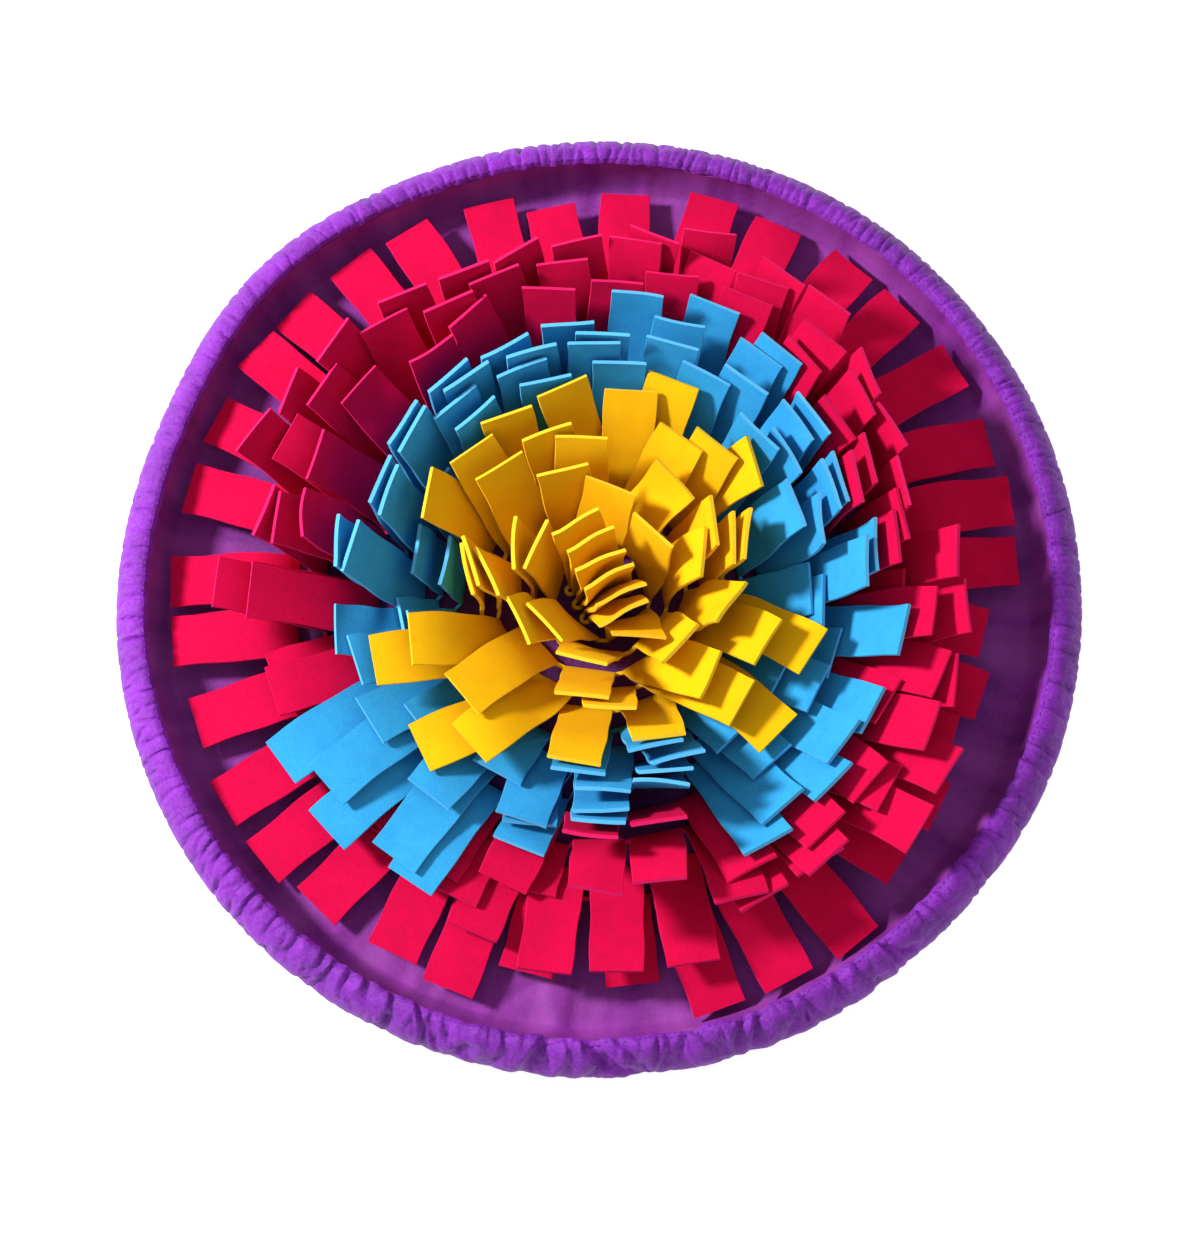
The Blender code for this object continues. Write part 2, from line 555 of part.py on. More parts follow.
def fringe(name, tabs, its_material, folded=False):
    """One felt band with its tabs standing on it: a closed ring, or folded to and fro in the middle."""
    points, faces, columns, rings = [], [], [], []

    def column(left, right):
        columns.append(len(points))
        points.extend((left, right, right + UP * BAND_HEIGHT, left + UP * BAND_HEIGHT))

    for t, tab in enumerate(tabs):
        across = UP.cross(tab.outward)
        way = -1.0 if folded and t % 2 else 1.0
        half = tab.outward * (FELT / 2.0)
        for side in (-way, way):
            foot = tab.root + across * (side * TAB_WIDTH / 2.0) - UP * BAND_HEIGHT
            column(foot - half * way, foot + half * way)
        a, b = columns[-2:] if way > 0.0 else columns[:-3:-1]
        rings.append([a + 3, a + 2, b + 2, b + 3] if way > 0.0 else [a + 2, a + 3, b + 3, b + 2])
        if folded and t + 1 < len(tabs):
            for root, near in ((tab.root, half), (tabs[t + 1].root, -half)):
                inside = root + across * (way * (TAB_WIDTH / 2.0 + FOLD_CLEAR)) - UP * BAND_HEIGHT
                outside = inside + across * (way * FELT)
                ends = (outside - near, inside + near)
                column(*(ends if way > 0.0 else ends[::-1]))
    under_tab = {(ring[0] // 4, ring[2] // 4) for ring in rings}
    following = columns[1:] + ([] if folded else columns[:1])
    for a, b in zip(columns, following):
        faces.append((a, b, b + 1, a + 1))
        faces.append((a + 1, b + 1, b + 2, a + 2))
        faces.append((a + 3, b + 3, b, a))
        if (a // 4, b // 4) not in under_tab and (b // 4, a // 4) not in under_tab:
            faces.append((a + 2, b + 2, b + 3, a + 3))
    if folded:
        faces += [tuple(end + i for i in range(4)) for end in (columns[0], columns[-1])]
    for tab, ring in zip(tabs, rings):
        for section in tab.sections()[1:]:
            start = len(points)
            points.extend(section)
            for c in range(4):
                d = (c + 1) % 4
                faces.append((ring[c], start + c, start + d, ring[d]))
            ring = [start + c for c in range(4)]
        faces.append(tuple(ring))
    return node_from(name, points, faces, its_material)


def tray(its_material):
    """The tray: a flat floor that turns up into a low wall, one sheet of cloth."""
    columns = 80
    floor_rings = (100.0, 186.0, FLOOR_RADIUS)
    wall_turn = ((FLOOR_RADIUS + 3.6, 2.2), (211.2, 9.5), (WALL_TOP_RADIUS, WALL_TOP - CLOTH))
    dice = random.Random(5)
    flutes = [dice.uniform(-0.6, 0.6) for _ in range(columns)]
    points, faces = [], []

    def ring_of(radius, height, fluting):
        start = len(points)
        for k in range(columns):
            azimuth = 360.0 * k / columns
            follow = ease((radius - 100.0) / 100.0)
            wobble = table_at(EDGE_WOBBLE, azimuth, 1) * follow
            reach = radius + wobble + flutes[k] * fluting
            points.append(around(azimuth) * reach + UP * height)
        return start

    def join(a, b):
        for k in range(columns):
            n = (k + 1) % columns
            faces.append((a + k, a + n, b + n, b + k))

    upper_centre = len(points)
    points.append(Vector((0.0, 0.0, CLOTH)))
    lower_centre = len(points)
    points.append(Vector((0.0, 0.0, 0.0)))
    upper = [ring_of(r, CLOTH, 0.0) for r in floor_rings]
    upper += [ring_of(r, CLOTH + h, 0.6) for r, h in wall_turn]
    lower = [ring_of(r, 0.0, 0.0) for r in floor_rings]
    lower += [ring_of(r + CLOTH * k, h, 0.6) for (r, h), k in zip(wall_turn, (0.62, 0.92, 1.0))]
    for a, b in zip(upper, upper[1:]):
        join(a, b)
    join(upper[-1], lower[-1])
    for a, b in zip(lower, lower[1:]):
        join(a, b)
    for k in range(columns):
        n = (k + 1) % columns
        faces.append((upper_centre, upper[0] + k, upper[0] + n))
        faces.append((lower_centre, lower[0] + n, lower[0] + k))
    return shade_round(node_from("tray_cloth", points, faces, its_material))


def casing(its_material):
    """The gathered casing round the edge, drawn up into many small puckers."""
    dice = random.Random(11)
    pitch = 360.0 / CASING_COLUMNS
    middle = Vector(CASING_MIDDLE)
    points, faces = [], []
    for k in range(CASING_COLUMNS):
        azimuth = pitch * (k + dice.uniform(-0.3, 0.3))
        depth = dice.uniform(*PUCKER_DEPTH) * (1.0 if k % 2 else -0.8)
        wobble = table_at(EDGE_WOBBLE, azimuth, 1)
        for radius, height, share in CASING_OUTLINE:
            away = (Vector((radius, height)) - middle).normalized() * (depth * share)
            reach = radius + wobble + away.x
            points.append(around(azimuth) * reach + UP * (height + away.y))
    count = len(CASING_OUTLINE)
    for k in range(CASING_COLUMNS):
        this, following = k * count, (k + 1) % CASING_COLUMNS * count
        for c in range(count):
            d = (c + 1) % count
            faces.append((this + c, following + c, following + d, this + d))
    return shade_round(node_from("gathered_casing", points, faces, its_material))


def heart_tabs(pile):
    """The tabs in the middle, which stand side by side on a band folded to and fro."""
    outward = around(HEART_FACING)
    tabs = []
    for k, (reach, skew, bend, roll) in enumerate(HEART_TABS):
        apart = HEART_SPACING * (k - (len(HEART_TABS) - 1) / 2.0)
        root = outward * apart + UP * TAB_ROOT

        def make_tab(change, turn, length_share):
            made = Tab(root, outward, HEART_LENGTH * length_share, ((0.0, 0.0), (1.0, bend)),
                       skew * turn, roll * turn)
            return made.lean_to(reach + change)

        tabs.append(lay_clear(pile, make_tab))
    return tabs


def main():
    for old in list(bpy.data.objects):
        bpy.data.objects.remove(old, do_unlink=True)
    purple = material("purple_cloth", (0.24, 0.05, 0.48), 0.6)
    felts = {
        "crimson": material("crimson_felt", (0.72, 0.0, 0.07), 0.85),
        "blue": material("blue_felt", (0.06, 0.36, 0.72), 0.85),
        "yellow": material("yellow_felt", (0.9, 0.58, 0.0), 0.85),
    }
    tray(purple)
    casing(purple)

    pile = Pile()
    dice = random.Random(3)
    rows = [("yellow_6", heart_tabs(pile)), ("crimson_1", lying_row(pile))]
    rows += [(row[0], row_tabs(pile, row, dice)) for row in ROWS]
    for name, tabs in rows:
        fringe(name + "_fringe", tabs, felts[name.split("_")[0]], name == "yellow_6")


if __name__ == "__main__":
    main()
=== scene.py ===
"""Looks of the snuffle mat: its felt tabs, the tray's cloth, the gathered casing and its stitches.

The felt bands are laid by the same tables and functions as the solids that they stand for, with
finer meshes. Lengths are in millimetres and angles in degrees until a mesh is made. Azimuths run
from +X towards +Y.
"""

import math
import random
from dataclasses import dataclass

import bmesh
import bpy
import numpy as np
from mathutils import Matrix, Vector, noise
from mathutils.bvhtree import BVHTree


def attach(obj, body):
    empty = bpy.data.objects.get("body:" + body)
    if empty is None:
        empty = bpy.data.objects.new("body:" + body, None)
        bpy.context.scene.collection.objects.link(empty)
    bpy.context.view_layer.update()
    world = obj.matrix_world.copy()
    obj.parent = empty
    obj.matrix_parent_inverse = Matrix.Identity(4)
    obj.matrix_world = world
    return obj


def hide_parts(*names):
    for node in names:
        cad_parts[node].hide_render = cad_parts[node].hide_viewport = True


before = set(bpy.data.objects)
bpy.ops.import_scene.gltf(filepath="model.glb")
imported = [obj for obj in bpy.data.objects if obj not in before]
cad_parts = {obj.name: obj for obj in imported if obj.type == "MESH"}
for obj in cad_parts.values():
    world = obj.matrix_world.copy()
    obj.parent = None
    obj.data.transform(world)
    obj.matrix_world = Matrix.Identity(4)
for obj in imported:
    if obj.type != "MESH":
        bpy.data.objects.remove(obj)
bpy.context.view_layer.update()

MM = 0.001
UP = Vector((0.0, 0.0, 1.0))

# ---- Driving dimensions, shared with the solids ----

MAT_RADIUS = 230.0  # middle of the mat to the outside of its gathered casing
CLOTH = 2.5  # thickness of the tray's cloth
FLOOR_RADIUS = 205.0  # where the flat floor of the tray starts to turn up
WALL_TOP_RADIUS = 213.0
WALL_TOP = 24.5  # height of the wall's upper edge
SEAM_GAP = 0.3  # between two pieces that lie against each other

TAB_WIDTH = 24.5
FELT = 2.2  # thickness of the felt
BAND_HEIGHT = 3.2  # uncut edge of a felt band, which holds its tabs together
TAB_CLEARANCE = 0.5  # air kept on each face of a tab when it is laid among the others
SIDE_CLEARANCE = 0.25  # and on each of its sides
FLOOR_CLEARANCE = 1.0
WALL_CLEARANCE = 1.0

BAND_BASE = CLOTH + SEAM_GAP
TAB_ROOT = BAND_BASE + BAND_HEIGHT

# ---- Tables ----

# How far the edge of the mat stands outside (+) or inside (-) of a true circle.
EDGE_WOBBLE = (
    # azimuth, offset
    (0, 0.0), (30, 0.5), (55, 1.5), (90, 0.5), (110, 1.0), (135, 5.0), (160, 0.0), (190, 2.0),
    (225, 2.0), (250, 1.0), (285, -1.0), (315, -2.5), (340, 0.0),
)

# Outline of the casing's section, inner lip first, over the crest and down the outside.
CASING_OUTLINE = (
    # radius, height
    (213.0, 26.2), (214.8, 28.6), (219.4, 28.2), (224.6, 23.2), (228.6, 16.2), (229.6, 9.6),
    (226.4, 6.8), (219.8, 11.6), (217.6, 21.4),
)
CASING_MIDDLE = (221.5, 17.5)

# Tip radius of each row of tabs round the mat.
TIP_RADII = (
    # azimuth, then a value for each of ROWS, of the outermost first
    (0, 134, 126, 118, 108, 102, 97, 91, 66, 60, 52, 42, 30),
    (15, 134, 126, 116, 107, 101, 96, 90, 78, 75, 72, 68, 34),
    (30, 150, 142, 126, 113, 107, 102, 96, 80, 77, 74, 70, 34),
    (45, 160, 152, 140, 130, 122, 104, 94, 82, 78, 62, 48, 32),
    (60, 165, 157, 148, 138, 130, 112, 100, 90, 80, 76, 72, 34),
    (75, 167, 158, 147, 135, 122, 111, 104, 97, 90, 84, 62, 32),
    (90, 155, 145, 132, 107, 101, 96, 90, 89, 84, 78, 52, 28),
    (105, 155, 145, 133, 101, 95, 90, 84, 76, 63, 60, 46, 26),
    (120, 150, 142, 128, 96, 90, 85, 79, 72, 62, 57, 42, 24),
    (135, 162, 152, 130, 98, 92, 87, 81, 83, 70, 66, 44, 22),
    (150, 173, 162, 148, 107, 103, 80, 72, 66, 57, 48, 38, 20),
    (165, 168, 158, 140, 102, 98, 76, 70, 62, 54, 46, 36, 20),
    (175, 153, 147, 134, 110, 106, 82, 73, 63, 55, 47, 37, 21),
    (186, 168, 158, 146, 119, 113, 108, 102, 100, 80, 60, 42, 24),
    (195, 184, 174, 165, 130, 124, 119, 113, 110, 96, 84, 48, 26),
    (203, 188, 178, 168, 132, 126, 120, 112, 115, 103, 88, 52, 28),
    (210, 194, 184, 174, 173, 156, 134, 122, 115, 103, 88, 52, 28),
    (225, 195, 185, 175, 176, 166, 146, 128, 119, 106, 78, 50, 28),
    (240, 193, 182, 172, 172, 158, 132, 112, 98, 84, 66, 48, 28),
    (255, 146, 122, 114, 110, 104, 99, 93, 80, 74, 67, 44, 28),
    (270, 150, 122, 106, 100, 94, 89, 83, 76, 72, 68, 44, 30),
    (285, 150, 124, 110, 95, 89, 84, 78, 74, 70, 66, 46, 30),
    (300, 171, 163, 154, 142, 132, 120, 106, 94, 80, 68, 50, 32),
    (315, 174, 165, 154, 141, 132, 122, 112, 101, 88, 70, 54, 34),
    (330, 166, 158, 146, 137, 130, 120, 110, 101, 86, 70, 60, 34),
    (345, 158, 146, 132, 120, 114, 106, 90, 74, 66, 60, 56, 34),
)

# The outer crimson tabs rise a little from their roots, then lie out over the tray's floor.
LYING_TABS = (
    # azimuth of the root, tip radius, skew, lean at the root, lean at the tip
    (4.0, 200, 0, 42, 97), (14.0, 202, -8, 34, 94), (24.0, 203, -12, 44, 97),
    (34.0, 206, -5, 40, 95), (44.0, 206, 0, 36, 97), (54.0, 207, -5, 44, 96),
    (64.4, 206, 1, 40, 98), (74.4, 207, -1, 36, 95), (86.3, 203, 1, 42, 97), (96.3, 197, 5, 38, 96),
    (106.3, 205, -2, 44, 97), (116.3, 206, 7, 36, 95), (126.3, 207, 2, 42, 98),
    (136.3, 207, 3, 40, 96), (146.3, 207, -7, 36, 93), (156.3, 206, -3, 44, 97),
    (166.3, 205, -2, 38, 96), (178.1, 206, 4, 42, 98), (188.1, 205, -3, 36, 95),
    (198.9, 202, 0, 42, 97), (209.7, 205, 3, 56, 95), (219.7, 205, 0, 62, 95),
    (229.7, 201, -4, 62, 95), (239.8, 198, 5, 62, 95), (249.8, 202, -1, 54, 95),
    (259.8, 185, -4, 60, 92), (274.0, 188, 3, 52, 92), (284.0, 206, 6, 42, 97),
    (294.0, 205, 4, 38, 95), (304.0, 206, 5, 42, 96), (314.0, 192, 12, 30, 84),
    (324.0, 190, 9, 26, 80), (334.0, 181, 9, 24, 78), (344.0, 187, -4, 30, 84),
    (354.0, 183, -9, 28, 82),
)

ROWS = (
    # name, root radius, tabs, length, share of the lobe's push, first azimuth
    ("yellow_5", 20.5, 5, 58.0, 0.0, 20.0),
    ("yellow_4", 30.0, 7, 60.0, 0.0, 9.0),
    ("yellow_3", 39.0, 9, 62.0, 0.0, 22.0),
    ("yellow_2", 48.0, 11, 64.0, 0.15, 12.6),
    ("yellow_1", 57.0, 13, 66.0, 0.3, 14.0),
    ("blue_4", 66.5, 16, 66.0, 0.5, 17.0),
    ("blue_3", 76.0, 18, 68.0, 0.75, 12.0),
    ("blue_2", 85.5, 20, 70.0, 0.9, 0.0),
    ("blue_1", 95.0, 23, 70.0, 1.0, 4.0),
    ("crimson_4", 107.5, 26, 68.0, 0.8, 5.0),
    ("crimson_3", 120.5, 29, 68.0, 0.55, 9.0),
    ("crimson_2", 133.5, 32, 68.0, 0.35, 3.0),
)

# Tabs that are laid differently from their row: turned, curled, or pressed flat over others.
PLACED = {
    # azimuth of the root, azimuth of the tip, tip radius, bend, and where they are not 0 and 1,
    # the roll and the share of the row's length
    "yellow_5": (
        (20, 34, 28, 15, 20), (92, 72, 36, 35, 8), (164, 164, 31, 4, 8), (236, 226, 38, 35, -10),
        (308, 296, 38, 30, 14),
    ),
    "yellow_4": (
        (9, 4, 42, 25, 12), (60, 48, 52, 20, -6), (112, 112, 46, 14, 8), (163, 174, 40, 6, 8),
        (215, 216, 46, 35, 14), (266, 258, 46, 25, -12), (318, 313, 52, 25, -14),
    ),
    "yellow_3": (
        (22, 20, 56, 12, 8), (62, 58, 72, 20), (102, 98, 60, 12), (142, 134, 66, 20, 4),
        (182, 186, 52, 10, -8), (222, 222, 86, 45, 4), (262, 262, 63, 6, -3),
        (302, 316, 70, 30, -8), (342, 343, 62, 20, 14),
    ),
    "yellow_2": (
        (13, 10, 62, 8, 0, 0.95), (45, 47, 74, 16), (78, 81, 86, 25), (111, 112, 62, 8, 6, 0.95),
        (144, 136, 82, 25), (176, 180, 55, 4, 5), (209, 199, 92, 45, 4), (242, 231, 100, 50),
        (274, 273, 68, 3, 2), (307, 317, 90, 50, -6), (340, 334, 84, 40, 4),
    ),
    "yellow_1": (
        (14, 10, 68, 6, 0, 0.95), (42, 34, 78, 12), (69, 69, 96, 30), (97, 91, 86, 20),
        (125, 122, 74, 6, 4, 0.95), (152, 140, 84, 20), (180, 179, 60, 4, 4, 0.75),
        (208, 200, 113, 45), (236, 221, 116, 45), (263, 262, 74, 4, -3), (291, 288, 75, 3, 2),
        (319, 317, 111, 50), (346, 337, 105, 50),
    ),
    "blue_4": (
        (152, 152, 74, 4, 0, 0.5), (174, 174, 74, 4, 0, 0.5), (197, 197, 92, 10, 0, 0.5),
        (220, 219, 104, 20, 0, 0.62), (242, 242, 98, 30, 0, 0.55), (264, 264, 83, -2, 0, 0.98),
        (287, 286, 82, -4, 0, 0.98), (310, 310, 96, 20, 0, 0.62), (332, 332, 96, 20, 0, 0.6),
        (354, 356, 84, 0, 0, 0.7),
    ),
    "blue_3": (
        (152, 152, 88, 6, 0, 0.55), (172, 172, 88, 6, 0, 0.55), (192, 192, 94, 4, 0, 0.42),
        (212, 212, 124, 25, 0, 0.7), (232, 232, 128, 25, 0, 0.74), (252, 252, 96, 10, 0, 0.8),
        (272, 271, 88, -6), (292, 291, 88, -12), (312, 312, 118, 25, 0, 0.75),
        (332, 332, 114, 25, 0, 0.72), (352, 353, 97, -4, 0, 0.75),
    ),
    "blue_2": (
        (144, 145, 101, -10), (162, 162, 102, -10), (180, 177, 104, -8),
        (198, 198, 114, 8, 0, 0.5), (342, 342, 110, 8, 0, 0.55), (216, 218, 160, 45),
        (234, 234, 162, 45), (252, 253, 102, 0, 0, 0.95), (270, 270, 92, -6), (288, 287, 92, -12),
    ),
    "blue_1": (
        (145, 145, 106, -14), (160, 160, 107, -14), (176, 176, 111, -14), (192, 190, 122, -8),
        (208, 211, 172, 45), (223, 223, 173, 45), (239, 238, 170, 45), (254, 254, 108, -6),
        (270, 270, 97, -6), (286, 285, 97, -10),
    ),
    "crimson_4": (
        (254, 252, 144, 55, 6), (268, 268, 112, 12, 4), (282, 282, 116, 12, 4),
    ),
    "crimson_3": (
        (158, 157, 160, 60, 6), (245, 245, 177, 8, 0, 0.7), (257, 257, 176, 8, 0, 0.8),
        (270, 269, 150, 50, -4), (282, 280, 147, 50, -6), (319, 323, 166, 50, 10),
    ),
    "crimson_2": (
        (239, 239, 186, 8, 0, 0.7), (250, 250, 187, 8, 0, 0.75), (262, 262, 183, 8, 0, 0.8),
        (273, 272, 183, 8, 0, 0.8), (284, 283, 184, 8, 0, 0.82),
    ),
}

LOBE_AZIMUTH = 226.0  # side on which the blue rows bulge out over the crimson
LOBE_CORE = 16.0  # to each side of it the push is full
LOBE_SPREAD = 26.0  # and beyond that it dies away over this
LOBE_PUSH = 13.0
LOBE_CUT = 0.4  # share that the crimson tabs under the lobe are shorter
TIP_JITTER = {"crimson": 3.0, "blue": 1.2, "yellow": 1.6}
SWING = {"crimson": 12.0, "blue": 3.0, "yellow": 15.0}  # most that a tab skews or rolls
LENGTH_SHARES = (0.95, 1.05)  # of the row's length
BEND_KEPT_INWARDS = 0.5
BEND = {"crimson": (8.0, 30.0), "blue": (-24.0, -8.0), "yellow": (8.0, 20.0)}
TIP_AHEAD = 0.93  # furthest that a tip reaches, as a share of the tab's length

CRIMSON_1_ROOT = 147.0
HEART_LENGTH = 60.0
HEART_FACING = 118.0  # azimuth that the tabs in the middle face, side by side like pages
HEART_SPACING = 3.9
FOLD_CLEAR = 0.5  # straight length of the folded band beyond its tabs, before each fold

# The tabs in the middle, on one band that is folded to and fro.
HEART_TABS = (
    # reach, skew, bend, roll
    (-16, -8, -10, -10), (-11, 6, -8, 8), (-6, -4, 8, -6), (0, 5, 12, 6), (6, -6, 10, -8),
    (13, 8, 12, 10),
)
LYING_BEND_END = 0.34  # share of a lying tab over which it bends down from its root
LYING_BEND_LEFT = 8.0  # and what it still bends beyond

# ---- Small helpers ----


def around(azimuth):
    """Unit vector in plan that points along an azimuth."""
    a = math.radians(azimuth)
    return Vector((math.cos(a), math.sin(a), 0.0))


def turn_between(azimuth, other):
    return (azimuth - other + 180.0) % 360.0 - 180.0


def turned(vector, degrees):
    return Matrix.Rotation(math.radians(degrees), 3, "Z") @ vector


def ease(share):
    """0 to 1, soft at both ends."""
    t = max(0.0, min(1.0, share))
    return t * t * (3.0 - 2.0 * t)


def table_at(table, azimuth, column):
    """A table's value at an azimuth, easing from each row to the next round the circle."""
    azimuth %= 360.0
    rows = [*table, (table[0][0] + 360.0, *table[0][1:])]
    for low, high in zip(rows, rows[1:]):
        if low[0] <= azimuth <= high[0]:
            share = ease((azimuth - low[0]) / (high[0] - low[0]))
            return low[column] + (high[column] - low[column]) * share
    raise ValueError(azimuth)


# ---- A tab's shape ----

STANDING_STATIONS = (0.0, 1.0 / 3.0, 2.0 / 3.0, 1.0)  # shares of the length that have a section
LYING_STATIONS = (0.0, 1.0 / 6.0, 1.0 / 3.0, 1.0)
FINE_STEPS = 24
SETTLED = 0.45  # share of the length over which a tab's skew and waves set in
LEAST_LEAN, MOST_LEAN = -85.0, 100.0
HALVINGS = 24
CORNERS = ((-1.0, -1.0), (-1.0, 1.0), (1.0, 1.0), (1.0, -1.0))


@dataclass
class Tab:
    """One felt tab: where it is rooted, and how it leans, turns and bends."""

    root: Vector
    outward: Vector
    length: float
    leans: tuple  # (share of the length, lean from upright) pairs, the first of them at the root
    skew: float = 0.0
    roll: float = 0.0
    stations: tuple = STANDING_STATIONS

    def lean_at(self, share):
        for (low, a), (high, b) in zip(self.leans, self.leans[1:]):
            if share <= high:
                return a + (b - a) * (share - low) / (high - low)
        return self.leans[-1][1]

    def mean_reach(self):
        """Reach of the tip as a share of the length."""
        leans = [self.lean_at((i + 0.5) / FINE_STEPS) for i in range(FINE_STEPS)]
        return sum(math.sin(math.radians(a)) for a in leans) / FINE_STEPS

    def lean_to(self, reach):
        """Leans the whole tab so that its tip comes to the reach."""
        bent = [(share, lean - self.leans[0][1]) for share, lean in self.leans]
        low, high = LEAST_LEAN, MOST_LEAN
        for _ in range(HALVINGS):
            middle = (low + high) / 2.0
            self.leans = [(share, middle + bend) for share, bend in bent]
            if self.mean_reach() * self.length < reach:
                low = middle
            else:
                high = middle
        return self

    def frame_at(self, share):
        """Directions at a share of the length: of its lean, its width and its thickness."""
        heading = turned(self.outward, self.skew * ease(share / SETTLED))
        across = UP.cross(heading)
        lean = math.radians(self.lean_at(share)) if share > 0.0 else 0.0
        outer = heading * math.cos(lean) - UP * math.sin(lean)
        roll = math.radians(self.roll * share)
        return (heading, across * math.cos(roll) + outer * math.sin(roll),
                outer * math.cos(roll) - across * math.sin(roll))

    def centre_line(self):
        """Points along the middle of the tab, FINE_STEPS + 1 of them."""
        points = [self.root.copy()]
        for i in range(FINE_STEPS):
            share = (i + 0.5) / FINE_STEPS
            lean = math.radians(self.lean_at(share))
            heading = self.frame_at(share)[0]
            step = heading * math.sin(lean) + UP * math.cos(lean)
            points.append(points[-1] + step * (self.length / FINE_STEPS))
        return points

    def sections(self, grow_width=0.0, grow_thickness=0.0):
        """The four corners at each station, in the order of CORNERS."""
        line = self.centre_line()
        half_width = (TAB_WIDTH + grow_width) / 2.0
        half_felt = (FELT + grow_thickness) / 2.0
        found = []
        for share in self.stations:
            centre = line[round(share * FINE_STEPS)]
            _, across, outer = self.frame_at(share)
            found.append([centre + across * (half_width * a) + outer * (half_felt * b)
                          for a, b in CORNERS])
        return found


def skin_of(sections):
    """(points, faces) of a closed skin over a tab's sections."""
    points = [p for section in sections for p in section]
    faces = [(0, 1, 2, 3), tuple(len(points) - 1 - i for i in range(4))]
    for s in range(len(sections) - 1):
        for c in range(4):
            a, b = 4 * s + c, 4 * s + (c + 1) % 4
            faces.append((a, a + 4, b + 4, b))
    return points, faces


# ---- Laying tabs among one another ----


class Pile:
    """The tabs laid so far. It tells whether one more has air all round it."""

    def __init__(self):
        self.laid = []

    def clear(self, tab):
        points, faces = skin_of(tab.sections(2.0 * SIDE_CLEARANCE, 2.0 * TAB_CLEARANCE))
        free = points[4:]
        return not (min(p.z for p in free) < CLOTH + FLOOR_CLEARANCE
                    or near_wall(free, WALL_CLEARANCE) or self.meets(points, faces))

    def meets(self, points, faces, own=None):
        """Whether a skin meets a laid tab other than the one whose bounds are its own."""
        low, high = bounds_of(points)
        tree = None
        for other_low, other_high, other in self.laid:
            if (other_low, other_high) == own or any(
                    low[k] > other_high[k] or high[k] < other_low[k] for k in range(3)):
                continue
            tree = tree or BVHTree.FromPolygons(points, faces)
            if tree.overlap(other):
                return True
        return False

    def lay(self, tab):
        points, faces = skin_of(tab.sections())
        self.laid.append((*bounds_of(points), BVHTree.FromPolygons(points, faces)))


def bounds_of(points):
    return (tuple(min(p[k] for p in points) for k in range(3)),
            tuple(max(p[k] for p in points) for k in range(3)))


def wall_inside(point):
    """Radius of the tray wall's inner face at a point's azimuth and height."""
    if point.z >= WALL_TOP:
        return MAT_RADIUS
    azimuth = math.degrees(math.atan2(point.y, point.x))
    rise = max(0.0, min(1.0, (point.z - CLOTH) / (WALL_TOP - CLOTH)))
    turn = (WALL_TOP_RADIUS - FLOOR_RADIUS) * math.sqrt(rise)
    return FLOOR_RADIUS + turn + table_at(EDGE_WOBBLE, azimuth, 1)


def near_wall(points, clearance):
    return any(Vector((p.x, p.y)).length > wall_inside(p) - clearance for p in points)


# What is tried until a tab lies clear: change of reach, shares kept of its turns and of its length.
REACH_TRIALS = (0, 1.5, -1.5, 3, -3, 5, -5, 7.5, -7.5, 10, -10, 14, -14, 18, -18, 23, -23, 30,
                -30, -40, -50, -60)
TURN_TRIALS = (1.0, 0.5, 0.0, -0.5, -1.0)
LENGTH_TRIALS = (1.0, 0.9, 0.8, 0.7, 0.6, 0.5, 0.4)
TURN_COST = 5.0
CUT_COST = 60.0


def trial_cost(trial):
    """How far a trial is from what was wished, in millimetres of reach."""
    reach_change, turn, length_share = trial
    return abs(reach_change) + TURN_COST * (1.0 - turn) + CUT_COST * (1.0 - length_share)


TRIALS = sorted(((r, t, s) for r in REACH_TRIALS for t in TURN_TRIALS for s in LENGTH_TRIALS),
                key=trial_cost)


def lay_clear(pile, make_tab):
    """Lays the tab that make_tab(reach change, turn share, length share) gives, nearest its wish.

    It gives None where a tab pressed flat leaves no room for another.
    """
    for trial in TRIALS:
        tab = make_tab(*trial)
        if pile.clear(tab):
            pile.lay(tab)
            return tab
    return None


def lobe(azimuth):
    """0 to 1: how much the lobe pushes a row's root outwards at an azimuth."""
    away = abs(turn_between(azimuth, LOBE_AZIMUTH))
    return 1.0 - ease((away - LOBE_CORE) / LOBE_SPREAD)


def aimed(root, outward, tip_azimuth, tip_radius):
    """(reach, skew) that bring a tab's tip from its root to a place in plan."""
    away = around(tip_azimuth) * tip_radius - Vector((root.x, root.y, 0.0))
    side = UP.cross(outward).dot(away)
    ahead = outward.dot(away)
    skew = math.degrees(math.atan2(side, ahead))
    return (away.length, skew) if ahead > 0.0 else (-away.length, skew - math.copysign(180.0, skew))


def wished(bend, roll=0, length_share=1.0):
    return bend, roll, length_share


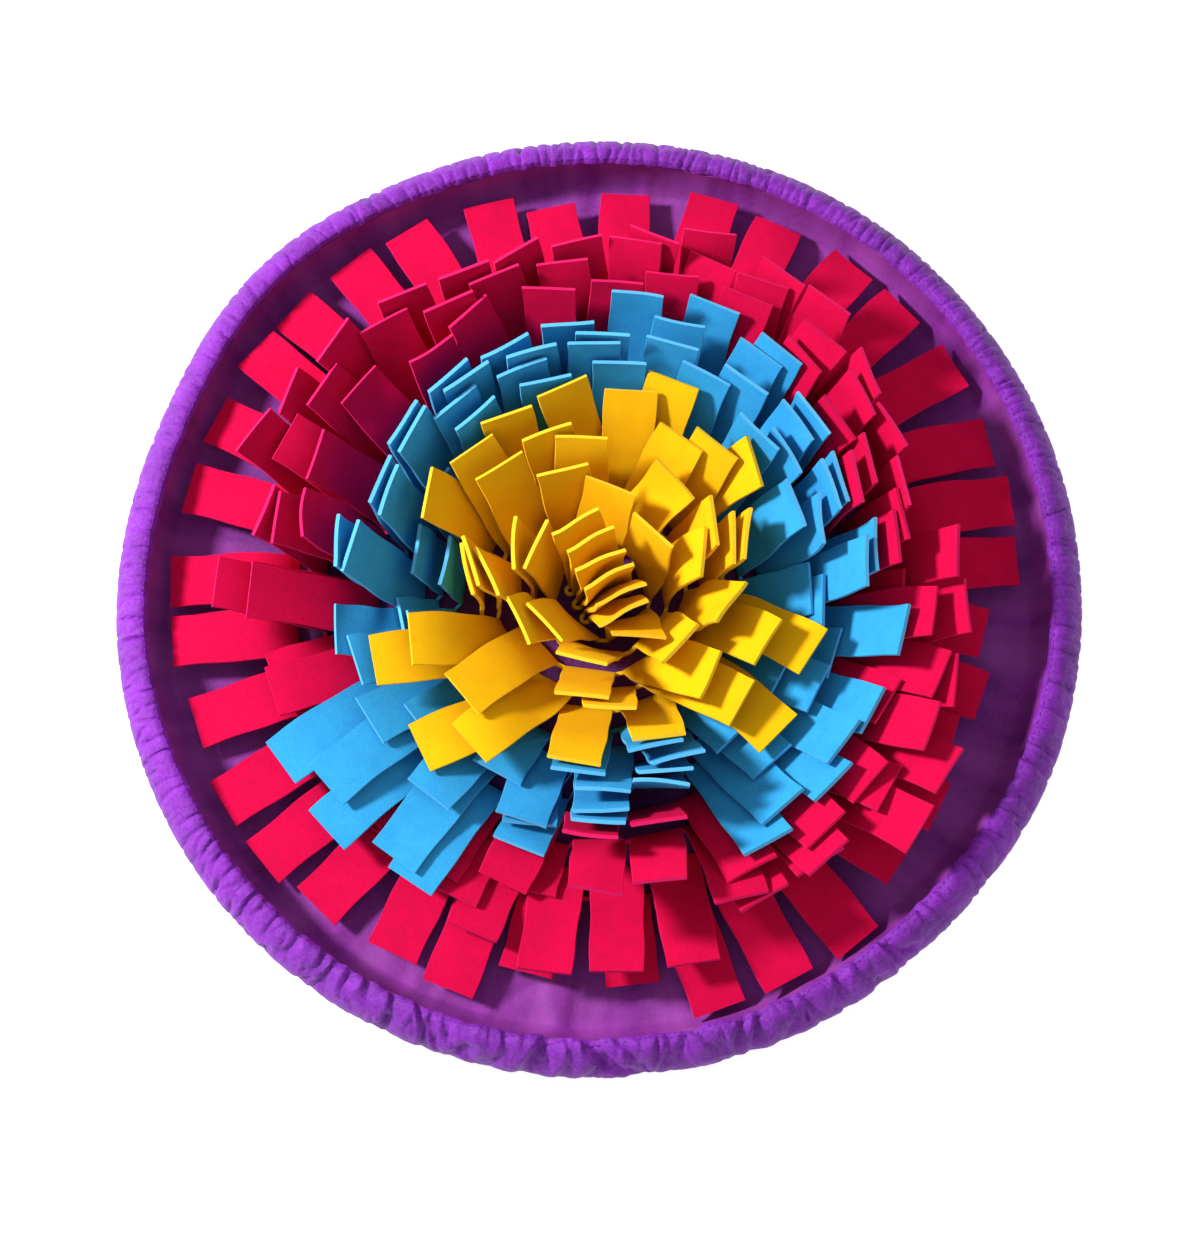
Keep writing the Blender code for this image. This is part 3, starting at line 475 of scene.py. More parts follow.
def row_tabs(pile, row, dice):
    """The tabs of one row, whose tips follow TIP_RADII but for those in PLACED."""
    name, root_radius, count, length, push, first = row
    column = len(ROWS) - ROWS.index(row)
    colour = name.split("_")[0]
    tabs = []
    for i in range(count):
        azimuth = first + 360.0 * i / count
        pushed = lobe(azimuth)
        radius = root_radius + LOBE_PUSH * push * pushed
        outward = around(azimuth)
        root = outward * radius + UP * TAB_ROOT
        tab_length = length * dice.uniform(*LENGTH_SHARES)
        if colour == "crimson":
            tab_length *= 1.0 - LOBE_CUT * pushed
        jitter = TIP_JITTER[colour] * ((-1) ** i + dice.uniform(-1.0, 1.0))
        reach = table_at(TIP_RADII, azimuth, column) + jitter - radius
        swing = SWING[colour]
        skew, roll = (dice.uniform(-swing, swing) * (1.0 - pushed) for _ in range(2))
        bend = dice.uniform(*BEND[colour]) * (1.0 if reach > 0.0 else BEND_KEPT_INWARDS)
        for placed_azimuth, tip_azimuth, tip_radius, *wish in PLACED.get(name, ()):
            if abs(turn_between(azimuth, placed_azimuth)) < 90.0 / count:
                reach, skew = aimed(root, outward, tip_azimuth, tip_radius)
                bend, roll, kept = wished(*wish)
                tab_length = kept * length

        def make_tab(change, turn, length_share):
            cut_to = tab_length * length_share
            made = Tab(root, outward, cut_to, ((0.0, 0.0), (1.0, bend)), skew * turn, roll * turn)
            return made.lean_to(min(reach + change, TIP_AHEAD * cut_to))

        tabs.append(lay_clear(pile, make_tab))
    return [tab for tab in tabs if tab]


def lying_row(pile):
    """The outer row: each tab rises a little from its root, then lies out flat."""
    tabs = []
    for azimuth, tip, skew, root_lean, tip_lean in LYING_TABS:
        outward = around(azimuth)
        root = outward * CRIMSON_1_ROOT + UP * TAB_ROOT
        leans = ((0.0, root_lean), (LYING_BEND_END, tip_lean - LYING_BEND_LEFT), (1.0, tip_lean))

        def make_tab(change, turn, length_share):
            made = Tab(root, outward, 1.0, leans, skew * turn, 0.0, LYING_STATIONS)
            made.length = (tip - CRIMSON_1_ROOT + change) * length_share / made.mean_reach()
            return made

        tabs.append(lay_clear(pile, make_tab))
    return tabs


def heart_tabs(pile):
    """The tabs in the middle, which stand side by side on a band folded to and fro."""
    outward = around(HEART_FACING)
    tabs = []
    for k, (reach, skew, bend, roll) in enumerate(HEART_TABS):
        apart = HEART_SPACING * (k - (len(HEART_TABS) - 1) / 2.0)
        root = outward * apart + UP * TAB_ROOT

        def make_tab(change, turn, length_share):
            made = Tab(root, outward, HEART_LENGTH * length_share, ((0.0, 0.0), (1.0, bend)),
                       skew * turn, roll * turn)
            return made.lean_to(reach + change)

        tabs.append(lay_clear(pile, make_tab))
    return tabs


# ---- Meshes ----

SHEET_FELT = 1.8  # thickness of the felt as it shows
CREASE_ANGLE = 42.0  # edges sharper than this are shaded sharp
FELT_STEPS = 24  # rings along a tab
FELT_ACROSS = 7  # points across a tab's face
LEAST_WAVE = 0.55  # how far every tab may wave out of its plane
MOST_WAVE = 2.2
LYING_WAVE = 0.45  # share of the waves that the lying tabs keep
ROOM_TRIALS = (4.4, 3.2, 2.3, 1.6)
ROOM_OVER_FLOOR = 0.6
ROOM_TO_WALL = 0.8

MOST_CUP = 0.9  # how far a tab cups across its width
CUP_LEVEL = 0.4  # keeps a cupped tab's mean where it was
CUP_FALL = 0.8
WAVE_SHARES = (0.45, 1.0)  # of the room, used by a tab's wave
WAVE_TURNS = (4.5, 8.5)  # radians of the wave over a tab's length
WAVE_SLANT = 1.6  # and at most across its width
WAVE_PHASES = (0.0, 6.3)
CURL_SHARES = (-1.0, 1.4)  # of the room, used by the curl of a tab's tip
CURL_START = 0.72
CURL_MEAN = 0.6
WAVE_LIMIT = 1.3  # share of the room that all of these together stay within
EDGE_WANDER = 0.3  # how far a tab's sides stray
EDGE_TURNS = 11.0
EDGE_ROUND = 0.25  # how far the cut sides bulge

FOLD_ANGLES = (-90.0, -45.0, 0.0, 45.0, 90.0)

# Waves that tabs side by side on the folded band share: height, turns across and along.
NESTED_WAVES = ((1.5, 2.4, 2.2), (1.3, 1.7, 5.5))


def piece_from(name, points, faces, its_material, nodes=(), cut=()):
    """A mesh object from points in millimetres that rides on the frame and stands for CAD nodes."""
    mesh = bpy.data.meshes.new(name)
    mesh.from_pydata([tuple(c * MM for c in p) for p in points], [], faces)
    if cut:
        mesh.attributes.new("cut_edge", "FLOAT", "FACE").data.foreach_set("value", cut)
    shaping = bmesh.new()
    shaping.from_mesh(mesh)
    bmesh.ops.recalc_face_normals(shaping, faces=shaping.faces)
    shaping.to_mesh(mesh)
    shaping.free()
    mesh.shade_smooth()
    mesh.set_sharp_from_angle(angle=math.radians(CREASE_ANGLE))
    mesh.materials.append(its_material)
    made = put(name, mesh)
    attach(made, "root")
    if nodes:
        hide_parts(*nodes)
    return made


def ring_faces(a, b, count):
    """The faces between two rings of points that start at a and b."""
    return [(a + k, a + (k + 1) % count, b + (k + 1) % count, b + k) for k in range(count)]


def skin_over(rings, bands):
    """(points, faces) over rings of points, with so many bands of faces from the first ring on."""
    count = len(rings[0])
    faces = []
    for i in range(bands):
        faces += ring_faces(i * count, (i + 1) % len(rings) * count, count)
    return [tuple(p) for ring in rings for p in ring], faces


def room_beside(pile, tab):
    """How far a laid tab may wave to each side before it meets a neighbour's half."""
    own = bounds_of(skin_of(tab.sections())[0])
    for gap in ROOM_TRIALS:
        points, faces = skin_of(tab.sections(0.0, 2.0 * gap)[1:])
        if not (min(p.z for p in points) < CLOTH + ROOM_OVER_FLOOR
                or near_wall(points, ROOM_TO_WALL) or pile.meets(points, faces, own)):
            return min(MOST_WAVE, gap / 2.0)
    return LEAST_WAVE


def felt_rings(tab, dice, room, nested):
    """Rings of points up a tab: across its inner face, round a side, back across its outer one."""
    line = tab.centre_line()
    cup = dice.uniform(-1.0, 1.0) * min(room, MOST_CUP)
    wave = dice.uniform(*WAVE_SHARES) * room
    turns = dice.uniform(*WAVE_TURNS)
    slant = dice.uniform(-WAVE_SLANT, WAVE_SLANT)
    phase = dice.uniform(*WAVE_PHASES)
    curl = dice.uniform(*CURL_SHARES) * room
    rings = []
    for k in range(FELT_STEPS + 1):
        share = k / FELT_STEPS
        centre = line[round(share * FINE_STEPS)]
        _, across, outer = tab.frame_at(share)
        free = ease(share / SETTLED)
        tip = max(0.0, (share - CURL_START) / (1.0 - CURL_START)) ** 2
        half = TAB_WIDTH / 2.0 + free * EDGE_WANDER * math.sin(EDGE_TURNS * share + phase)
        faces = []
        for side in (-1.0, 1.0):
            face = []
            for j in range(FELT_ACROSS):
                u = 2.0 * j / (FELT_ACROSS - 1) - 1.0
                bow = free * (cup * (u * u - CUP_LEVEL) * CUP_FALL
                              + wave * math.sin(turns * share + phase + slant * u))
                bow += tip * curl * (CURL_MEAN + CURL_MEAN * u * math.sin(phase))
                bow = max(-WAVE_LIMIT * room, min(WAVE_LIMIT * room, bow))
                if nested:
                    bow += free * sum(height * math.sin(over * u + along * share)
                                      for height, over, along in NESTED_WAVES)
                face.append(centre + across * (u * half) + outer * (side * SHEET_FELT / 2.0 + bow))
            faces.append(face)
        inner, outer_face = faces
        right = (inner[-1] + outer_face[-1]) / 2.0 + across * EDGE_ROUND
        left = (inner[0] + outer_face[0]) / 2.0 - across * EDGE_ROUND
        rings.append([*inner, right, *reversed(outer_face), left])
    return rings


def fold_columns(tab, after, side):
    """(one face, middle, other face) points of the band where it turns back beside a tab."""
    across = UP.cross(tab.outward) * side
    middle = (tab.root + after.root) / 2.0 + across * (TAB_WIDTH / 2.0 + FOLD_CLEAR)
    radius = (after.root - tab.root).length / 2.0
    columns = []
    for angle in FOLD_ANGLES:
        a = math.radians(angle)
        way = tab.outward * math.sin(a) + across * math.cos(a)
        columns.append([middle + way * (radius + side * off * SHEET_FELT / 2.0)
                        for off in (1.0, 0.0, -1.0)])
    return columns


def felt_band(name, tabs, pile, its_material, folded=False):
    """One felt band, cut like a comb, with its tabs standing on it, as one closed mesh."""
    dice = random.Random(name)
    n = FELT_ACROSS
    size = 2 * n + 2
    left, right = 2 * n + 1, n
    sink = UP * BAND_HEIGHT
    points, faces, cut = [], [], []
    walk = []  # (low, high) index triples along the band, and whether a tab's width goes on

    def add(is_cut, *face):
        faces.append(face)
        cut.append(is_cut)

    def strip(is_cut, here, there):
        for a in (0, 1):
            add(is_cut, here[a], here[a + 1], there[a + 1], there[a])

    for t, tab in enumerate(tabs):
        room = room_beside(pile, tab) * (LYING_WAVE if tab.stations is LYING_STATIONS else 1.0)
        rings = felt_rings(tab, dice, room, folded)
        low = len(points)
        root = low + size
        points.extend(p - sink for p in rings[0])
        points.extend(p for ring in rings for p in ring)
        back = folded and t % 2 == 1
        order = range(n - 1, -1, -1) if back else range(n)
        for j in order:
            middle = left if j == 0 else right if j == n - 1 else None
            pair = (2 * n - j, j) if back else (j, 2 * n - j)
            triple = (pair[0], middle, pair[1])
            walk.append((*(tuple(None if i is None else base + i for i in triple)
                           for base in (low, root)), j != order[-1]))
        for k in range(FELT_STEPS):
            ring = root + k * size
            for e, face in enumerate(ring_faces(ring, ring + size, size)):
                add(float(e in (n - 1, n, 2 * n, 2 * n + 1)), *face)
        tip = root + FELT_STEPS * size
        for j in range(n - 1):
            add(1.0, tip + j, tip + j + 1, tip + 2 * n - j - 1, tip + 2 * n - j)
        add(1.0, tip + n - 1, tip + right, tip + n + 1)
        add(1.0, tip, tip + 2 * n, tip + left)
        if folded and t + 1 < len(tabs):
            for column in fold_columns(tab, tabs[t + 1], -1.0 if back else 1.0):
                start = len(points)
                points.extend([p - sink for p in column] + column)
                walk.append((range(start, start + 3), range(start + 3, start + 6), False))

    following = walk[1:] + ([] if folded else walk[:1])
    for (low, high, under_tab), (next_low, next_high, _) in zip(walk, following):
        for c in (0, 2):
            add(0.0, low[c], next_low[c], next_high[c], high[c])
        if under_tab:
            add(1.0, low[0], next_low[0], next_low[2], low[2])
        else:
            strip(1.0, low, next_low)
            strip(1.0, high, next_high)
    for k, (low, _, under_tab) in enumerate(walk):
        if low[1] is not None and (under_tab or walk[k - 1][2]):
            add(1.0, *low)
    if folded:
        for low, high, _ in (walk[0], walk[-1]):
            strip(1.0, low, high)
    return piece_from(name + "_felt", points, faces, its_material, [name + "_fringe"], cut)


# ---- The tray's cloth ----

TRAY_COLUMNS = 720
SHEET_TRAY = 1.4  # thickness of the tray's cloth as it shows
TRAY_SEED = 21
TRAY_RISE = 0.1  # height of the sheet's upper face over the solid's
TRAY_MIDDLE = 20.0  # radius of the innermost ring
COARSE_RINGS = (TRAY_MIDDLE, 130.0, 8)  # first and last radius, number of rings
FINE_RINGS = (136.0, FLOOR_RADIUS, 30)
WOBBLE_RADII = (100.0, 200.0)  # the edge's wobble sets in at the first, whole at the second

# Soft radial folds that the gathers send into the floor.
FLUTES = 110
FLUTE_WIDTHS = (1.0, 2.6)  # degrees
FLUTE_HEIGHTS = (-1.0, 1.0)
FLUTE_REACHES = (0.2, 0.9)  # shares of FLUTE_REACH
LEAST_REACH = 0.15
FLUTE_REACH = 55.0  # how far a fold may run in over the floor
DEEPEST_FLUTE = -0.5
WALL_FLUTE_LOSS = 0.6  # share of the folds' height that is lost up the wall
WALL_FLUTE_HEIGHT = 20.0
WALL_UPRIGHT = 14.0  # height at which folds stand out of the wall, not of the floor
TURN_RINGS = 16  # where the floor turns up into the wall
TURN_ROUNDNESS = 0.8
TURN_SPACING = 1.35

# The underside, from the wall's top down and in.
TRAY_UNDERSIDE = (
    # radius, height
    (WALL_TOP_RADIUS + SHEET_TRAY, WALL_TOP), (WALL_TOP_RADIUS + SHEET_TRAY - 1.0, 12.0),
    (FLOOR_RADIUS + 5.0, 4.0), (FLOOR_RADIUS + 2.0, 1.0), (FLOOR_RADIUS, 0.0), (120.0, 0.0),
    (TRAY_MIDDLE, 0.0),
)

CREASE_POWER = 1.5  # how a crease's sides fall

# Creases in the floor that show between the tabs: soft troughs (-) and ridges (+).
FLOOR_CREASES = (
    # azimuth and radius of one end, of the other, height, half width
    (261.0, 176, 264.0, 205, 0.9, 4.0), (266.5, 178, 266.0, 206, -0.7, 3.0),
    (271.0, 180, 270.0, 206, 1.0, 4.5), (258.0, 196, 263.5, 183, -1.2, 2.0),
    (263.5, 183, 268.0, 184, -0.8, 2.2), (254.0, 186, 255.0, 206, 0.8, 5.0),
    (103.0, 188, 101.0, 207, 0.8, 4.0), (92.0, 186, 91.0, 207, -0.8, 4.0),
    (331.0, 190, 333.0, 206, 0.9, 4.0), (337.0, 188, 340.0, 206, -0.9, 4.0),
    (346.0, 190, 347.0, 206, 0.9, 5.0), (206.0, 190, 204.0, 206, 0.7, 4.0),
)


def crease_height(xy):
    """Rise of the floor's cloth over its solid at points in plan, an array of (x, y)."""
    rise = np.zeros(len(xy))
    for *ends, height, width in FLOOR_CREASES:
        a, b = (radius * np.array((math.cos(turn), math.sin(turn)))
                for turn, radius in ((math.radians(ends[0]), ends[1]),
                                     (math.radians(ends[2]), ends[3])))
        along = (xy - a) @ (b - a) / ((b - a) @ (b - a))
        held = np.clip(along, 0.0, 1.0)
        nearest = a + held[:, None] * (b - a)
        away = np.linalg.norm(xy - nearest, axis=1)
        rise += height * np.exp(-((away / width) ** CREASE_POWER))
    return rise


def columns_round(count):
    """(azimuths, wobble of the edge, cosines, sines) at columns round the mat."""
    azimuths = np.arange(count) * 360.0 / count
    wobble = np.array([table_at(EDGE_WOBBLE, a, 1) for a in azimuths])
    return azimuths, wobble, np.cos(np.radians(azimuths)), np.sin(np.radians(azimuths))


def wobbled(radius, wobble):
    start, whole = WOBBLE_RADII
    return radius + wobble * ease((radius - start) / (whole - start))


def tray_rings():
    """The tray's cloth, a fine sheet on its solid with the gathers' folds, then its underside."""
    dice = random.Random(TRAY_SEED)
    flutes = [[dice.uniform(*limits)
               for limits in ((0, 360), FLUTE_WIDTHS, FLUTE_HEIGHTS, FLUTE_REACHES)]
              for _ in range(FLUTES)]
    floor = [*np.linspace(*COARSE_RINGS), *np.linspace(*FINE_RINGS)]
    turn = []
    for i in range(1, TURN_RINGS + 1):
        t = i / TURN_RINGS
        out = math.sin(t * math.pi / 2) ** TURN_ROUNDNESS
        turn.append((FLOOR_RADIUS + (WALL_TOP_RADIUS - FLOOR_RADIUS) * out,
                     (WALL_TOP - CLOTH) * t ** TURN_SPACING))
    azimuths, wobble, cosine, sine = columns_round(TRAY_COLUMNS)
    fluting = np.zeros(TRAY_COLUMNS)
    reach_in = np.zeros(TRAY_COLUMNS)
    for centre, width, height, length in flutes:
        away = turn_between(azimuths, centre)
        bump = np.exp(-((away / width) ** 2))
        fluting += height * bump
        reach_in += length * bump
    reach_in = np.clip(reach_in, LEAST_REACH, 1.0)
    rings = []
    for r, h in [(r, 0.0) for r in floor] + turn:
        inset = (FLOOR_RADIUS - r) / FLUTE_REACH
        fold = np.clip(1.0 - inset / reach_in, 0.0, 1.0) if r < FLOOR_RADIUS else 1.0
        rise = fluting * fold * (1.0 - WALL_FLUTE_LOSS * ease(h / WALL_FLUTE_HEIGHT))
        lean = ease(h / WALL_UPRIGHT)
        radius = wobbled(r, wobble) - rise * lean
        xy = np.stack([radius * cosine, radius * sine], axis=1)
        height = CLOTH + h + np.maximum(rise, DEEPEST_FLUTE) * (1.0 - lean)
        height = height + crease_height(xy) * (1.0 - lean) + TRAY_RISE
        rings.append(np.column_stack([xy, height]))
    for r, h in TRAY_UNDERSIDE:
        radius = wobbled(r, wobble)
        rings.append(np.column_stack([radius * cosine, radius * sine, np.full(TRAY_COLUMNS, h)]))
    return rings


def tray_piece(its_material):
    rings = tray_rings()
    points, faces = skin_over(rings, len(rings) - 1)
    top_middle, low_middle = len(points), len(points) + 1
    points += [(0.0, 0.0, CLOTH), (0.0, 0.0, 0.0)]
    last = (len(rings) - 1) * TRAY_COLUMNS
    for k in range(TRAY_COLUMNS):
        n = (k + 1) % TRAY_COLUMNS
        faces += [(top_middle, k, n), (low_middle, last + n, last + k)]
    return piece_from("tray_sheet", points, faces, its_material, ["tray_cloth"])


# ---- The gathered casing ----

GATHER_COLUMNS = 1900
GATHER_SEED = 31
ROUND_IT = 2.0 * math.pi * MAT_RADIUS
SHEET_CASING = 1.0
OUTER_SAMPLES = 40
INNER_SAMPLES = 9
SPLINE_STEPS = 24
SHOWN_SHARE = 0.62  # share of the section, from the inner seam, that shows from above
LEAST_RISE, MOST_RISE = -4.2, 2.6
INNER_RISE = 0.5  # most that the sheet's inner face rises, so that it stays thin
LIP_SHARE = 0.1  # share of the section over which the inner edge is scalloped
LIP_SCALLOP = 1.1
LIP_MEAN = 0.4
LIP_SCALLOPS = 34.0  # how close the scallops follow one another

# A pucker's measures, as shares of the pitch or depth that GATHERS gives. It falls steeply on one
# side and gently on the other.
STRAY = 0.25
SLANT = 0.55
DEPTHS = (0.35, 1.15)
STEEP_WIDTHS = (0.16, 0.4)
GENTLE_WIDTHS = (0.5, 1.1)
STEPS = (0.55, 1.45)
SKIPPED_STEPS = (0.6, 1.4)
FROM_LIP_ENDS = (0.25, 0.6)  # shares of the shown section
FROM_OUTSIDE_STARTS = (0.35, 0.65)
BEND_SHARE = 0.35
BEND_HALF_TURNS = (1.0, 2.0)
FALL_POWER = 1.15
FADE_IN = (0.15, 0.6)
FADE_OUT = (0.25, 0.5)

# Short creases all over, in millimetres, and the share of the section that each runs over.
SHORT_CREASES = 420
SHORT_SLANT = 14.0
SHORT_DEPTHS = (0.5, 1.1)
SHORT_STEEP_WIDTHS = (0.9, 1.6)
SHORT_GENTLE_WIDTHS = (1.4, 3.6)
SHORT_LAST_START = 0.85
SHORT_RUNS = (0.1, 0.3)

# Crumples: size, height, shift of the noise.
CRUMPLES = ((7.0, 0.55, 0.0), (3.4, 0.24, 40.0))
CRUMPLE_MEAN = 0.6
CRUMPLE_SECTION = 34.0  # length of the section as the noise sees it

# How much of the gathers' height is kept across the section.
RISE_SHARES = (
    # share of the section, share of the height
    (0.0, 0.5), (0.06, 1.0), (0.32, 1.0), (0.48, 0.5), (0.60, 0.28), (1.0, 0.12),
)
STITCHES = 450
STITCH_SAMPLE = 2  # sample of the casing's section along which the stitches run
STITCH_LENGTH = 1.9
STITCH_RADIUS = 0.26
STITCH_SIDES = 6
STITCH_SINK = 0.55  # how a stitch bows from the cloth, as shares of its radius
STITCH_BOW = 0.5

# A stitch's sections.
STITCH_PROFILE = (
    # share of the half length, share of the radius
    (-1.0, 0.35), (-0.7, 0.9), (0.0, 1.0), (0.7, 0.9), (1.0, 0.35),
)

# How the puckers change round the mat.
GATHERS = (
    # azimuth, pitch, depth, share that run right across the band, width of a crease for its pitch
    (0, 6.5, 1.3, 0.20, 0.42), (40, 6.5, 1.3, 0.25, 0.42), (90, 7.0, 1.4, 0.35, 0.48),
    (140, 7.5, 1.1, 0.15, 0.38), (180, 7.5, 1.0, 0.12, 0.36), (215, 8.0, 1.7, 0.35, 0.5),
    (240, 11.0, 3.2, 0.75, 0.9), (270, 14.0, 4.6, 0.9, 1.0), (300, 12.0, 4.0, 0.85, 0.95),
    (325, 8.5, 2.4, 0.5, 0.7), (345, 7.0, 1.7, 0.25, 0.5),
)


def spline(points, count):
    """Points along a smooth open curve through the given ones, at even spacing."""
    ends = [points[0] * 2 - points[1], *points, points[-1] * 2 - points[-2]]
    fine = []
    for i in range(1, len(ends) - 2):
        p0, p1, p2, p3 = ends[i - 1:i + 3]
        for t in np.linspace(0.0, 1.0, SPLINE_STEPS, endpoint=False):
            fine.append(0.5 * (2 * p1 + (p2 - p0) * t + (2 * p0 - 5 * p1 + 4 * p2 - p3) * t ** 2
                               + (3 * p1 - p0 - 3 * p2 + p3) * t ** 3))
    fine = np.array([*fine, points[-1]])
    run = np.concatenate([[0.0], np.cumsum(np.linalg.norm(np.diff(fine, axis=0), axis=1))])
    at = np.linspace(0.0, run[-1], count)
    return np.column_stack([np.interp(at, run, fine[:, k]) for k in range(2)])


def pucker_lines(dice):
    """(place round the mat, slant, depth, widths to each side, start, end) of every pucker."""
    draw = dice.uniform
    lines = []
    for from_outside in (False, True):
        place = 0.0
        while place < ROUND_IT:
            azimuth = 360.0 * place / ROUND_IT
            pitch, depth, across, spread = (table_at(GATHERS, azimuth, c) for c in range(1, 5))
            whole = dice.random() < across
            if from_outside and whole:
                place += pitch * draw(*SKIPPED_STEPS)
                continue
            start = draw(*FROM_OUTSIDE_STARTS) if from_outside else 0.0
            end = 1.0 if from_outside else draw(*FROM_LIP_ENDS)
            lines.append((place + draw(-STRAY, STRAY) * pitch, dice.gauss(0.0, SLANT * pitch),
                          depth * draw(*DEPTHS), pitch * spread * draw(*STEEP_WIDTHS),
                          pitch * spread * draw(*GENTLE_WIDTHS), start, 1.0 if whole else end))
            place += pitch * draw(*STEPS)
    for _ in range(SHORT_CREASES):
        start = draw(0.0, SHORT_LAST_START)
        lines.append((draw(0.0, ROUND_IT), draw(-SHORT_SLANT, SHORT_SLANT), draw(*SHORT_DEPTHS),
                      draw(*SHORT_STEEP_WIDTHS), draw(*SHORT_GENTLE_WIDTHS), start,
                      start + draw(*SHORT_RUNS)))
    return lines


def gather_rise(share, azimuths):
    """How far the casing's cloth stands off its mean section: (column, sample) in millimetres."""
    place = azimuths / 360.0 * ROUND_IT
    rise = np.zeros((GATHER_COLUMNS, OUTER_SAMPLES))
    dice = random.Random(GATHER_SEED)
    shown = np.clip(share / SHOWN_SHARE, 0.0, 1.0)
    for at, slant, depth, before, after, start, end in pucker_lines(dice):
        bend = dice.uniform(-BEND_SHARE, BEND_SHARE) * (before + after)
        bent = bend * np.sin(shown * math.pi * dice.uniform(*BEND_HALF_TURNS))
        centre = at + slant * (shown - 0.5) + bent
        away = (place[:, None] - centre[None, :] + ROUND_IT / 2) % ROUND_IT - ROUND_IT / 2
        fall = np.clip(1.0 - np.where(away < 0, -away / before, away / after), 0.0, 1.0)
        inside = (np.clip((shown - start) / FADE_IN[0] + FADE_IN[1], 0, 1)
                  * np.clip((end - shown) / FADE_OUT[0] + FADE_OUT[1], 0, 1))
        rise -= depth * fall ** FALL_POWER * inside[None, :]
    rise -= rise.mean(axis=0)[None, :]
    for k, azimuth in enumerate(azimuths):
        on_rim = around(azimuth) * MAT_RADIUS
        rough = table_at(GATHERS, azimuth, 4)
        for c in range(OUTER_SAMPLES):
            p = on_rim + UP * (share[c] * CRUMPLE_SECTION)
            rise[k, c] += rough * sum(
                height * (1.0 - 2.0 * abs(noise.noise(p / size + UP * shift)) - CRUMPLE_MEAN)
                for size, height, shift in CRUMPLES)
    return rise


def gathered_sheet(its_material):
    """The casing's cloth as a thin shell that curls from its inner lip over the crest and under."""
    path = spline([np.array(p) for p in CASING_OUTLINE], OUTER_SAMPLES)
    tangent = np.gradient(path, axis=0)
    tangent /= np.linalg.norm(tangent, axis=1)[:, None]
    normal = np.column_stack([-tangent[:, 1], tangent[:, 0]])
    if ((path - np.array(CASING_MIDDLE)) * normal).sum() < 0:
        normal = -normal
    share = np.linspace(0.0, 1.0, OUTER_SAMPLES)
    azimuths, wobble, cosine, sine = columns_round(GATHER_COLUMNS)
    kept = np.interp(share, *zip(*RISE_SHARES))
    rise = np.clip(gather_rise(share, azimuths) * kept[None, :], LEAST_RISE, MOST_RISE)
    scallop = np.array([noise.noise(around(a) * LIP_SCALLOPS) for a in azimuths])

    def ring(base, offset):
        radius = base[0] + wobble + offset[:, 0]
        return np.column_stack([radius * cosine, radius * sine, base[1] + offset[:, 1]])

    lip = np.clip(1.0 - share / LIP_SHARE, 0.0, 1.0) * LIP_SCALLOP
    rings = []
    for c in range(OUTER_SAMPLES):
        offset = rise[:, c][:, None] * normal[c][None, :]
        offset[:, 0] -= lip[c] * (LIP_MEAN + scallop)
        rings.append(ring(path[c], offset))
    for c in np.linspace(OUTER_SAMPLES - 1, 0, INNER_SAMPLES).round().astype(int):
        inner = np.minimum(rise[:, c], INNER_RISE) - SHEET_CASING
        rings.append(ring(path[c], inner[:, None] * normal[c][None, :]))
    points, faces = skin_over(rings, len(rings))
    casing = piece_from("casing_gathers", points, faces, its_material,
                        ["gathered_casing"])
    return casing, [Vector(p) for p in rings[STITCH_SAMPLE]], normal[STITCH_SAMPLE]


def stitch_line(seam, lift, its_material):
    """A line of short stitches that holds the casing's inner edge to the tray's wall."""
    points, faces = [], []
    sides, rings = STITCH_SIDES, len(STITCH_PROFILE)
    for i in range(STITCHES):
        at = int(i * len(seam) / STITCHES)
        before, after = seam[at % len(seam)], seam[(at + 2) % len(seam)]
        middle = (before + after) / 2.0
        along = (after - before).normalized()
        outward = Vector((middle.x, middle.y, 0.0)).normalized()
        off = (outward * lift[0] + UP * lift[1]).normalized()
        beside = along.cross(off)
        start = len(points)
        for reach, fat in STITCH_PROFILE:
            bow = off * (STITCH_RADIUS * (STITCH_SINK - STITCH_BOW * reach * reach))
            for k in range(sides):
                a = 2.0 * math.pi * k / sides
                rim = (off * math.sin(a) + beside * math.cos(a)) * (STITCH_RADIUS * fat)
                points.append(middle + along * (reach * STITCH_LENGTH / 2.0) + bow + rim)
        for r in range(rings - 1):
            faces += ring_faces(start + r * sides, start + (r + 1) * sides, sides)
        for r in (0, rings - 1):
            faces.append(tuple(start + r * sides + k for k in range(sides)))
    return piece_from("seam_stitches", points, faces, its_material)


# ---- Materials ----

SHADE_RADII = (140.0, 192.0)  # painted shade on the floor among the tabs: darkest inside the first, none past the second
SHADE_SHARE = 0.35
SHEEN_BAND_SCALE = 9.0  # size of the painted sheen: soft light radial bands on the floor
SHEEN_BAND_SHARE = 0.4


def node(tree, kind, fed=None, **settings):
    """A node with its settings, and with sockets fed from other nodes' outputs."""
    made = tree.nodes.new(kind)
    for key, value in settings.items():
        if key in made.inputs:
            made.inputs[key].default_value = value
        else:
            setattr(made, key, value)
    for key, output in (fed or {}).items():
        tree.links.new(output, made.inputs[key])
    return made


def new_material(name, roughness, specular, sheen=0.0, sheen_tint=(1.0, 1.0, 1.0)):
    made = bpy.data.materials.new(name)
    made.use_nodes = True
    shader = made.node_tree.nodes["Principled BSDF"]
    for socket, value in (("Roughness", roughness), ("Specular IOR Level", specular),
                          ("Sheen Weight", sheen), ("Sheen Roughness", 0.45),
                          ("Sheen Tint", (*sheen_tint, 1.0))):
        shader.inputs[socket].default_value = value
    return made, made.node_tree, shader


def place_in(tree):
    return tree.nodes.new("ShaderNodeTexCoord").outputs["Object"]


